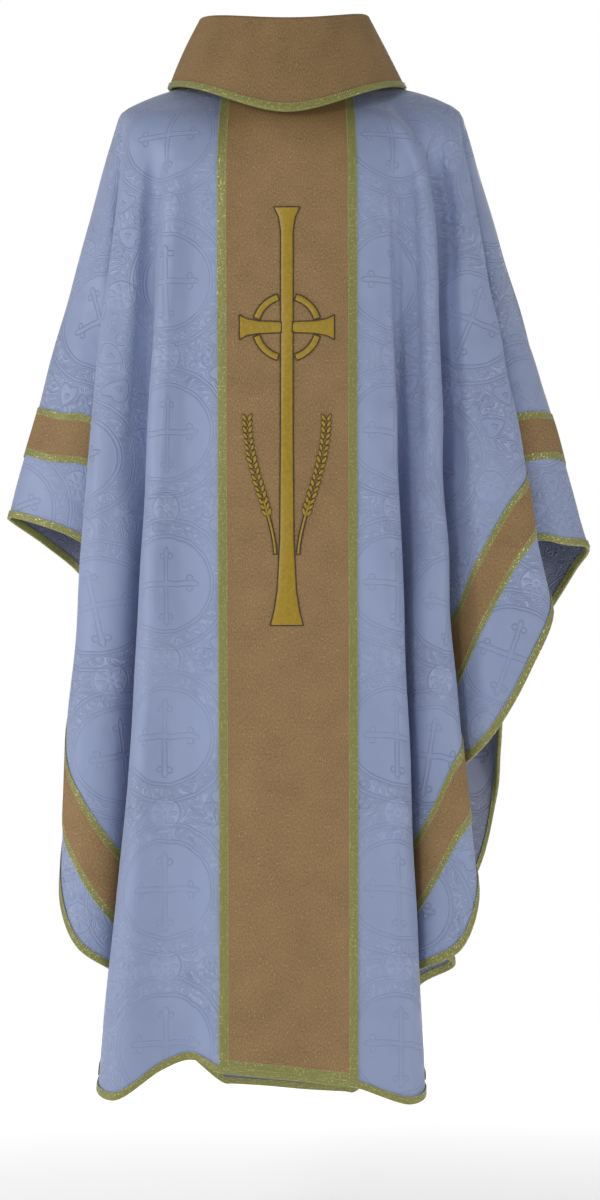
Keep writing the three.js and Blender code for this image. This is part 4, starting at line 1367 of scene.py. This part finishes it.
@dataclass
class Panel:
    """One face of the cloak: its damask, hem binding, gold column and side bands.

    Attributes:
        cloak: the cloth's grid.
        face: the front or the back.
        wardrobe: the materials.
    """

    cloak: Cloak
    face: Face
    wardrobe: Wardrobe

    def __post_init__(self) -> None:
        """Find the grid columns that the face starts and ends at."""
        left, right = (self.cloak.column_of(self.cloak.crests[side]) for side in (LEFT, RIGHT))
        self.start, self.end = (left, right) if self.face is BACK else (right, self.cloak.total)
        self.columns = [self.cloak.column_of(line) for line in self.cloak.column_lines[self.face]]
        self.sewn: list[bpy.types.Object] = []
        self.seams: list[tuple[np.ndarray, np.ndarray]] = []

    def build(self) -> bpy.types.Object:
        """Build every piece of the face.

        Returns:
            The damask panel.
        """
        name = self.face.name
        panel = self._panel(name)
        self._binding(name)
        self._column(name)
        for side in (LEFT, RIGHT):
            self._band(f"{name}_band_{side.name}", side)
        stitches = EDGE_STITCH.sew(f"{name}_edge_stitches", self.seams, self.wardrobe.gilt)
        self.sewn.append(seat(stitches, Slot.RIBBON, self.wardrobe.gilt))
        self.patch.flat_size()
        self.patch.flat_area()
        return panel

    def _panel(self, name: str) -> bpy.types.Object:
        """Make the damask, with the figure lined up on each half."""
        self.patch = Patch(self.cloak, self.start, self.end, 0, Row.HEM.value)
        flat = self.patch.flat
        on_left = flat[..., :1] < 0
        shift = np.where(on_left, self.cloak.pattern_at[-1], self.cloak.pattern_at[1])
        uv = flat - np.concatenate([shift, np.full(shift.shape, -self.cloak.pattern_down)], -1)
        piece = self.patch.wall(f"{name}_damask", -CLOTH / 2, CLOTH / 2, uv)
        seat(piece, Slot.DAMASK, self.wardrobe.damask, f"{name}_panel")
        piece.data.materials.append(self.wardrobe.reverse)
        one_side = (len(self.patch.columns) - 1) * Row.HEM.value
        for polygon in piece.data.polygons[one_side : 2 * one_side]:
            polygon.material_index = 1
        return piece

    def _binding(self, name: str) -> None:
        """Fold the bias binding round the hem."""
        above, edge = (self.patch.cloth[:, row] for row in (Row.BINDING.value, Row.HEM.value))
        normals = tuple(self.patch.normals[:, row] for row in (Row.BINDING.value, Row.HEM.value))
        piece = folded(f"{name}_hem_tape", above, edge, normals, CLOTH / 2, run_lengths(edge))
        self.sewn.append(seat(piece, Slot.RIBBON, self.wardrobe.ribbon, f"{name}_hem_binding"))
        top = above + normals[0] * (CLOTH / 2 + FOLDED_LIFT + RIBBON * SUNK)
        self.seams.append((top, normals[0]))

    def _strip(self, name: str, node: str, patch: Patch, slot: Slot, down: bool) -> bpy.types.Object:
        """Lay one flat strip on the damask."""
        material = self.wardrobe.brocade if slot is Slot.GOLD else self.wardrobe.ribbon
        piece = seat(patch.wall(name, ON_CLOTH, ON_CLOTH + RIBBON), slot, material, node)
        if slot is Slot.GOLD:
            patch.strip_size(down)
        self.sewn.append(piece)
        return piece

    def _seam(self, columns: np.ndarray, rows: np.ndarray) -> None:
        """Note a line of the grid to whip a ribbon's edge along."""
        normals = self.cloak.normals[columns % self.cloak.total, rows]
        points = self.cloak.points[columns % self.cloak.total, rows] + normals * (ON_CLOTH + RIBBON * SUNK)
        self.seams.append((points, normals))

    def _column(self, name: str) -> None:
        """Lay the gold column with its two ribbons, and the ribbon along its foot."""
        outer_a, inner_a = self.columns[:2]
        inner_b, outer_b = self.columns[-2:]
        foot, binding = Row.FOOT.value, Row.BINDING.value
        gold = Patch(self.cloak, inner_a, inner_b, 0, foot)
        self._strip(f"{name}_brocade_column", f"{name}_column", gold, Slot.GOLD, True)
        for tag, start, end in (("a", outer_a, inner_a), ("b", inner_b, outer_b)):
            patch = Patch(self.cloak, start, end, 0, binding)
            node = f"{name}_column_ribbon_{tag}"
            self._strip(f"{name}_column_braid_{tag}", node, patch, Slot.RIBBON, True)
            rows = np.arange(binding + 1)
            for column in (start, end):
                self._seam(np.full(len(rows), column), rows)
        patch = Patch(self.cloak, inner_a, inner_b, foot, binding)
        self._strip(f"{name}_column_foot_braid", f"{name}_column_foot", patch, Slot.RIBBON, False)
        across = np.arange(inner_a, inner_b + 1)
        self._seam(across, np.full(len(across), foot))

    def _band(self, name: str, side: Side) -> None:
        """Lay a side band and its two ribbons, from the top of the arm to the hem."""
        crossed = [line for line in self.cloak.halves[self.face, side] if line.band > 0]
        inner = self.cloak.column_of(crossed[-1])
        towards_right = (side is LEFT) == (self.face is BACK)
        start, end = (self.start, inner) if towards_right else (inner, self.end)
        rows = [Row.BAND_TOP.value, Row.GOLD_TOP.value, Row.GOLD_END.value, Row.BAND_END.value]
        across = np.arange(start, end + 1)
        parts = (("ribbon_in", Slot.RIBBON), ("gold", Slot.GOLD), ("ribbon_out", Slot.RIBBON))
        for (part, slot), top, bottom in zip(parts, rows, rows[1:]):
            patch = Patch(self.cloak, start, end, top, bottom)
            kind = "brocade" if slot is Slot.GOLD else "braid"
            self._strip(f"{name}_{kind}_{part}", f"{name}_{part}", patch, slot, False)
        for row in rows:
            self._seam(across, np.full(len(across), row))


# ---- Embroidery ---------------------------------------------------------------------------------


@dataclass
class Embroidery:
    """Satin stitch on the back column: a cross with a ring, and an ear of wheat either side.

    Attributes:
        cloak: the cloth's grid.
        wardrobe: the materials.
        top, crossing, foot: heights of the stem's head, of the arms and of the stem's foot.
        reach: how far an arm goes from the middle.
        ring: radius of the ring.
        pitch: from one thread to the next, in millimetres. Real floss is 0.4 mm; it is drawn
            coarser, so that the threads show.
        clear: how far outside a bar's edge its outline runs.
        edge_height, crown, ridge: how high a bar is at its edge, how much more at its middle, and
            how far each thread stands up there.
        outline: the stitches round each bar.
        first_grain: how far along each ear's line, in steps, the grains start.
    """

    cloak: Cloak
    wardrobe: Wardrobe
    top: float = -154
    crossing: float = -300
    foot: float = -661
    reach: float = 57
    ring: float = 38
    pitch: float = 2.0
    clear: float = 0.8
    edge_height: float = 0.3
    crown: float = 1.1
    ridge: float = 0.16
    outline: StitchRun = StitchRun(pitch=2.2, size=(3.5, 2.2, 1.5))
    first_grain: int = 18

    def __post_init__(self) -> None:
        """Take the stretch of cloth that the threads are worked on."""
        lines = self.cloak.column_lines[BACK]
        start, end = self.cloak.column_of(lines[1]), self.cloak.column_of(lines[-2])
        self.ground = Patch(self.cloak, start, end, 0, Row.FOOT.value).cloth
        self.pieces: list[bpy.types.Object] = []
        self.edges: list[tuple[np.ndarray, np.ndarray]] = []

    def on_cloth(self, x: np.ndarray, z: np.ndarray, height: np.ndarray | float) -> np.ndarray:
        """Place points on the column's face.

        Args:
            x: how far to the right of the middle.
            z: how far up.
            height: how far off the brocade.

        Returns:
            The points, of x's shape and xyz.
        """
        wide = [np.interp(-z.ravel(), -column[:, 2], column[:, 0]) for column in self.ground]
        deep = [np.interp(-z.ravel(), -column[:, 2], column[:, 1]) for column in self.ground]
        wide, deep = np.array(wide), np.array(deep)
        y = np.array([np.interp(value, wide[:, n], deep[:, n]) for n, value in enumerate(x.ravel())])
        y = y.reshape(x.shape) - ON_CLOTH - RIBBON - height
        return np.stack([x, y, z], -1)

    def bar(self, name: str, path: np.ndarray, *nodes: str) -> None:
        """Work one bar of satin stitch, with its outline.

        Args:
            name: the piece's name.
            path: (x, z, half width) along its middle, downwards or to the right.
            *nodes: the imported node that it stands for, if any.
        """
        length = run_lengths(path[:, :2])
        at = np.linspace(0, length[-1], int(length[-1] / self.pitch * 3) + 1)
        x, z, half = (np.interp(at, length, path[:, n]) for n in range(3))
        run = unit(np.stack([np.gradient(x), np.gradient(z)], -1))
        # Columns of the wall run across the bar, towards its right as seen from behind.
        across = np.linspace(-1, 1, 9)
        px = x[None] - across[:, None] * half * run[:, 1]
        pz = z[None] + across[:, None] * half * run[:, 0]
        round_over = np.sqrt(1 - (across * 0.97) ** 2)[:, None]
        ridges = self.ridge * np.cos(at / self.pitch * math.tau)[None]
        outer = self.on_cloth(px, pz, self.edge_height + self.crown * round_over + ridges * round_over)
        piece = wall(name, outer, self.on_cloth(px, pz, 0.05), np.stack([px, pz], -1))
        self.pieces.append(seat(piece, Slot.EMBROIDERY, self.wardrobe.satin, *nodes))
        for side in (-1, 1):
            reach = side * (half + self.clear)
            self.edge(x - reach * run[:, 1], z + reach * run[:, 0])
        for end, way in ((0, -1), (-1, 1)):
            past = way * self.clear * run[end]
            self.edge(px[:, end] + past[0], pz[:, end] + past[1])

    def edge(self, x: np.ndarray, z: np.ndarray) -> None:
        """Note a line to outline."""
        points = self.on_cloth(x, z, 0.45)
        self.edges.append((points, np.tile([0.0, -1.0, 0.0], (len(points), 1))))

    def cross(self) -> None:
        """Work the stem, the arms and the ring of the cross."""
        stem = [
            (self.top, 15), (self.top - 12, 9.5), (self.top - 28, 7), (self.crossing, 7), (-430, 7),
            (-560, 8), (-620, 11), (-645, 15), (self.foot, 19),
        ]
        self.bar("cross_stem_satin", np.array([(0, z, half) for z, half in stem], float), "cross_stem")
        turns = np.radians(np.linspace(17, 73, 15))
        for name, way in (("left", -1), ("right", 1)):
            arm = [(7.3, 6), (34, 7), (48, 9.5), (self.reach, 14)]
            path = np.array([(way * x, self.crossing, half) for x, half in arm[::way]], float)
            self.bar(f"cross_arm_satin_{name}", path, f"cross_arm_{name}")
            for part, up in (("upper", 1), ("lower", -1)):
                x, z = way * self.ring * np.cos(turns), self.crossing + up * self.ring * np.sin(turns)
                path = np.stack([x, z, np.full(len(x), 3.5)], -1)
                path = path if x[-1] > x[0] else path[::-1]
                self.bar(f"ring_satin_{part}_{name}", path, f"ring_{part}_{name}")

    def wheat(self) -> None:
        """Work the two ears: overlapping grains on a stalk, each grain on a darker, wider one."""
        share = np.linspace(0, 1, 60)
        for name, way in (("left", -1), ("right", 1)):
            x = way * (14 + 34 * np.sin(share * math.pi / 2) ** 1.6)
            z = lerp(-575.0, -410.0, share)
            stalk = np.stack([x, z, np.full(60, 1.3)], -1)[:24]
            self.bar(f"wheat_stalk_{name}", stalk[::-1])
            run = unit(np.stack([np.gradient(x), np.gradient(z)], -1))
            up = np.tile([0.0, -1.0, 0.0], (len(x) - self.first_grain, 1))
            for side in (-1, 1):
                grains = np.stack([x - side * 3.4 * run[:, 1], z + side * 3.4 * run[:, 0]])
                gx, gz = grains[:, self.first_grain :]
                for kind, thread, size, height in (
                    ("grain", self.wardrobe.satin, (10.5, 4.2, 2.6), 0.9),
                    ("shade", self.wardrobe.outline, (12.5, 6.2, 1.6), 0.3),
                ):
                    line = (self.on_cloth(gx, gz, height), up)
                    run_of = StitchRun(pitch=7.2, size=size, slant=26 * side)
                    tag = "a" if side < 0 else "b"
                    piece = run_of.sew(f"wheat_{kind}_{name}_{tag}", [line], thread)
                    nodes = [f"wheat_{name}"] if kind == "grain" and side < 0 else []
                    self.pieces.append(seat(piece, Slot.EMBROIDERY, thread, *nodes))

    def build(self) -> list[bpy.types.Object]:
        """Work everything and outline it."""
        self.cross()
        self.wheat()
        lines = self.outline.sew("embroidery_outline", self.edges, self.wardrobe.outline)
        self.pieces.append(seat(lines, Slot.EMBROIDERY, self.wardrobe.outline))
        return self.pieces


# ---- Collar -------------------------------------------------------------------------------------


@dataclass(frozen=True)
class Ring:
    """An oval round the neck. It falls from its sides to the middle of the back and of the front.

    Attributes:
        half_width: from the middle to a side.
        back, front: how deep it is each way.
        side_z, back_z, front_z: its heights.
        dip: the greater it is, the more of the fall lies close to the middle.
        straight: the share of the fall that runs evenly from the sides instead.
        turn: how widely that share rounds the middle.
    """

    half_width: float
    back: float
    front: float
    side_z: float
    back_z: float
    front_z: float
    dip: float = 2.0
    straight: float = 0.0
    turn: float = 0.22


@dataclass
class Collar:
    """The roll collar: one wall that goes up inside, folds over at the top and falls outside.

    Attributes:
        cloak: the cloth's grid, whose neckline the collar stands in.
        wardrobe: the materials.
        wall: its thickness.
        fold, rim: where it turns over, and its lower edge.
        fold_radius: of the roll along its top.
        left_swell: how far the fold stands out over the left shoulder, where it also sinks half as much.
        belly: how far its fall bows out.
        around: sections round the neck.
        edging: how far the ribbon reaches up from its edge, at the back and front.
        flute: how far its fall waves in and out, in millimetres.
    """

    cloak: Cloak
    wardrobe: Wardrobe
    wall: float = 2.0
    fold: Ring = Ring(103, 82, 84, 98, 84, 78)
    rim: Ring = Ring(147, 118, 116, 8, -35, -48, dip=4.4, straight=0.55)
    fold_radius: float = 5
    left_swell: float = 7
    belly: float = 1
    around: int = 200
    edging: float = 8
    flute: float = 1.6

    def _ring_point(self, ring: Ring, angle: float) -> np.ndarray:
        """Find a point of an oval, at an angle from the left arm round by the back."""
        deep = -math.sin(angle)
        depth, z = (ring.back, ring.back_z) if deep < 0 else (ring.front, ring.front_z)
        sides = math.hypot(1, ring.turn)
        even = (sides - math.hypot(math.cos(angle), ring.turn)) / (sides - ring.turn)
        fallen = lerp(abs(deep) ** ring.dip, even, ring.straight)
        return np.array([-ring.half_width * math.cos(angle), depth * deep, lerp(ring.side_z, z, fallen)])

    def _neckline_at(self, angle: float, inset: float) -> np.ndarray:
        """Find the point of the cloak's neckline at an angle, moved in towards the neck."""
        ray = np.array([-math.cos(angle), -math.sin(angle), 0.0])
        a = self.cloak.points[:, 0]
        b = np.roll(a, -1, 0)
        side_a, side_b = (ray[0] * p[:, 1] - ray[1] * p[:, 0] for p in (a, b))
        ahead = (a @ ray > 0) & (b @ ray > 0) & ((side_a <= 0) != (side_b <= 0))
        i = int(np.flatnonzero(ahead)[0])
        return lerp(a[i], b[i], side_a[i] / (side_a[i] - side_b[i])) - ray * inset

    def profile(self, angle: float) -> np.ndarray:
        """Find the middle of the wall at an angle: up the stand, over the fold, down the fall."""
        outwards = np.array([-math.cos(angle), -math.sin(angle), 0.0])
        up = np.array([0.0, 0.0, 1.0])
        bottom = self._neckline_at(angle, CLOTH / 2 + 2 * SEAM + self.wall / 2)
        swell = self.left_swell * max(math.cos(angle), 0) ** 3
        crown = self._ring_point(self.fold, angle) + outwards * (swell - self.fold_radius) - up * swell / 2
        turns = np.radians(np.arange(-90, 81, 10))
        arc = [crown + self.fold_radius * (outwards * math.sin(t) + up * (math.cos(t) - 1)) for t in turns]
        stand = [lerp(bottom, arc[0], share) for share in np.linspace(0, 1, 9)[:-1]]
        rim = self._ring_point(self.rim, angle)
        above = 1 - self.edging * lerp(0.55, 1.0, math.sin(angle) ** 2) / np.linalg.norm(rim - arc[-1])
        wave = math.sin(3 * angle + 0.6) + 0.7 * math.sin(5 * angle + 2.1) + 0.4 * math.sin(9 * angle)
        fall = []
        for share in [*np.linspace(0, above, 19)[1:], (1 + above) / 2, 1.0]:
            bow = share * (1 - share) * (4 * self.belly + 2 * self.flute * wave)
            fall.append(lerp(arc[-1], rim, share) + outwards * bow)
        return np.array([*stand, *arc, *fall])

    def build(self) -> list[bpy.types.Object]:
        """Build the collar and the ribbon folded round its lower edge."""
        angles = np.arange(self.around) * math.tau / self.around
        lines = np.array([self.profile(a) for a in angles])
        tangents = np.stack([np.sin(angles), -np.cos(angles), np.zeros(self.around)], -1)[:, None]
        normals = unit(np.cross(np.gradient(lines, axis=1), np.broadcast_to(tangents, lines.shape)))
        half = self.wall / 2
        down = run_lengths(lines[0])
        rounds = run_lengths(lines[:, -1])
        uv = np.stack(np.broadcast_arrays(rounds[:, None], down[None]), -1)
        body = wall("collar_brocade", lines + normals * half, lines - normals * half, uv, ring=True)
        seat(body, Slot.GOLD, self.wardrobe.brocade, "collar")
        girths = [run_lengths(np.vstack([row, row[:1]]))[-1] for row in lines.transpose(1, 0, 2)]
        above, edge = normals[:, -3], normals[:, -1]
        tape = folded("collar_edge_tape", lines[:, -3], lines[:, -1], (above, edge), half, rounds, ring=True)
        seat(tape, Slot.RIBBON, self.wardrobe.ribbon, "collar_edging")
        top = lines[:, -3] + above * (half + FOLDED_LIFT + RIBBON * SUNK)
        ring = (np.vstack([top, top[:1]]), np.vstack([above, above[:1]]))
        stitches = EDGE_STITCH.sew("collar_edge_stitches", [ring], self.wardrobe.gilt)
        seat(stitches, Slot.RIBBON, self.wardrobe.gilt)
        return [body, tape, stitches]


# ---- Stage --------------------------------------------------------------------------------------


@dataclass(frozen=True)
class Studio:
    """A white floor and white surroundings, with soft light from all round and four soft lamps.

    Attributes:
        floor_z, floor_radius: height and size of the floor, in metres.
        paper: its colour.
        ambient: strength of the surroundings.
        glow: how much light the floor gives near the garment.
        fade: how much more it gives for each metre further out, which hides its edge.
        lamps: name, place, size in metres and watts of each lamp.
        aim: the height that the lamps point at.
        stand: where the camera stands.
        focal: its focal length, in millimetres.
    """

    floor_z: float = -1.45
    floor_radius: float = 2.4
    paper: str = "#fafafa"
    ambient: float = 0.48
    glow: float = 0.14
    fade: float = 0.38
    lamps: tuple = (
        ("key", (-1.4, -3.1, 0.5), 0.6, 20),
        ("left_rim", (-3.0, -0.9, 0.0), 1.4, 24),
        ("right_rim", (3.2, -1.8, -0.4), 1.6, 18),
        ("front_key", (0.5, 3.0, 0.2), 1.2, 19),
    )
    aim: float = -0.6
    stand: tuple[float, float, float] = (0.016, -4.5, -0.631)
    focal: float = 108

    def floor(self) -> None:
        """Lay the floor."""
        turns = np.arange(48) * math.tau / 48
        mesh = bpy.data.meshes.new("floor")
        radius = self.floor_radius
        rim = [(radius * math.cos(t), radius * math.sin(t), self.floor_z) for t in turns]
        mesh.from_pydata(rim, [], [list(range(len(rim)))])
        material, tree, shader = start_material("white_paper")
        place = add_node(tree, "ShaderNodeTexCoord").outputs["Object"]
        grain = add_node(tree, "ShaderNodeTexNoise", {"Vector": place, "Scale": 40.0})
        relief = {"Strength": 0.05, "Distance": MM, "Height": grain.outputs["Fac"]}
        away = add_node(tree, "ShaderNodeVectorMath", {0: place}, operation="LENGTH")
        known = {"away": away.outputs["Value"]}
        work_out(tree, known, [
            ("far", "SUBTRACT", "away", 0.4 * radius), ("past", "MAXIMUM", "far", 0.0),
            ("shine", "MULTIPLY_ADD", "past", self.fade, self.glow),
        ])
        add_inputs(tree, shader, {
            "Base Color": linear(self.paper), "Roughness": 0.9,
            "Normal": add_node(tree, "ShaderNodeBump", relief).outputs["Normal"],
            "Emission Color": linear(self.paper), "Emission Strength": known["shine"],
        })
        mesh.materials.append(material)
        floor = bpy.data.objects.new("floor", mesh)
        bpy.context.scene.collection.objects.link(floor)

    def light(self) -> None:
        """Set the white surroundings, dimmer overhead, and the lamps."""
        world = bpy.data.worlds.new("white_room")
        world.use_nodes = True
        tree = world.node_tree
        way = add_node(tree, "ShaderNodeTexCoord").outputs["Generated"]
        known = {
            "seen": add_node(tree, "ShaderNodeLightPath").outputs["Is Camera Ray"],
            "up": add_node(tree, "ShaderNodeSeparateXYZ", {0: way}).outputs["Z"],
        }
        work_out(tree, known, [
            ("above", "MAXIMUM", "up", 0.0),
            ("sky", "MULTIPLY_ADD", "above", -0.5 * self.ambient, self.ambient),
            ("strength", "MAXIMUM", "sky", "seen"),
        ])
        white = {"Color": (1.0, 1.0, 1.0, 1.0), "Strength": known["strength"]}
        add_inputs(tree, tree.nodes["Background"], white)
        scene = bpy.context.scene
        scene.world = world
        scene.view_settings.view_transform = "Standard"
        for name, place, size, watts in self.lamps:
            lamp = bpy.data.lights.new(name, "AREA")
            lamp.energy, lamp.size = watts, size
            holder = bpy.data.objects.new(name, lamp)
            holder.location = place
            aim = Vector((0, 0, self.aim)) - holder.location
            holder.rotation_euler = aim.to_track_quat("-Z", "Y").to_euler()
            scene.collection.objects.link(holder)

    def camera(self) -> None:
        """Stand the camera 4.5 m behind the garment, level, at the height of its middle."""
        lens = bpy.data.cameras.new("camera")
        lens.lens, lens.sensor_fit, lens.sensor_height, lens.sensor_width = self.focal, "VERTICAL", 36, 36
        camera = bpy.data.objects.new("camera", lens)
        camera.location = self.stand
        camera.rotation_euler = (math.radians(90), 0, 0)
        bpy.context.scene.collection.objects.link(camera)
        bpy.context.scene.camera = camera


def main() -> None:
    """Build the chasuble and its stage."""
    studio = Studio()
    studio.camera()
    studio.light()
    studio.floor()
    cloak = Cloak()
    wardrobe = Wardrobe()
    for face in (BACK, FRONT):
        Panel(cloak, face, wardrobe).build()
    Embroidery(cloak, wardrobe).build()
    Collar(cloak, wardrobe).build()


if __name__ == "__main__":
    main()
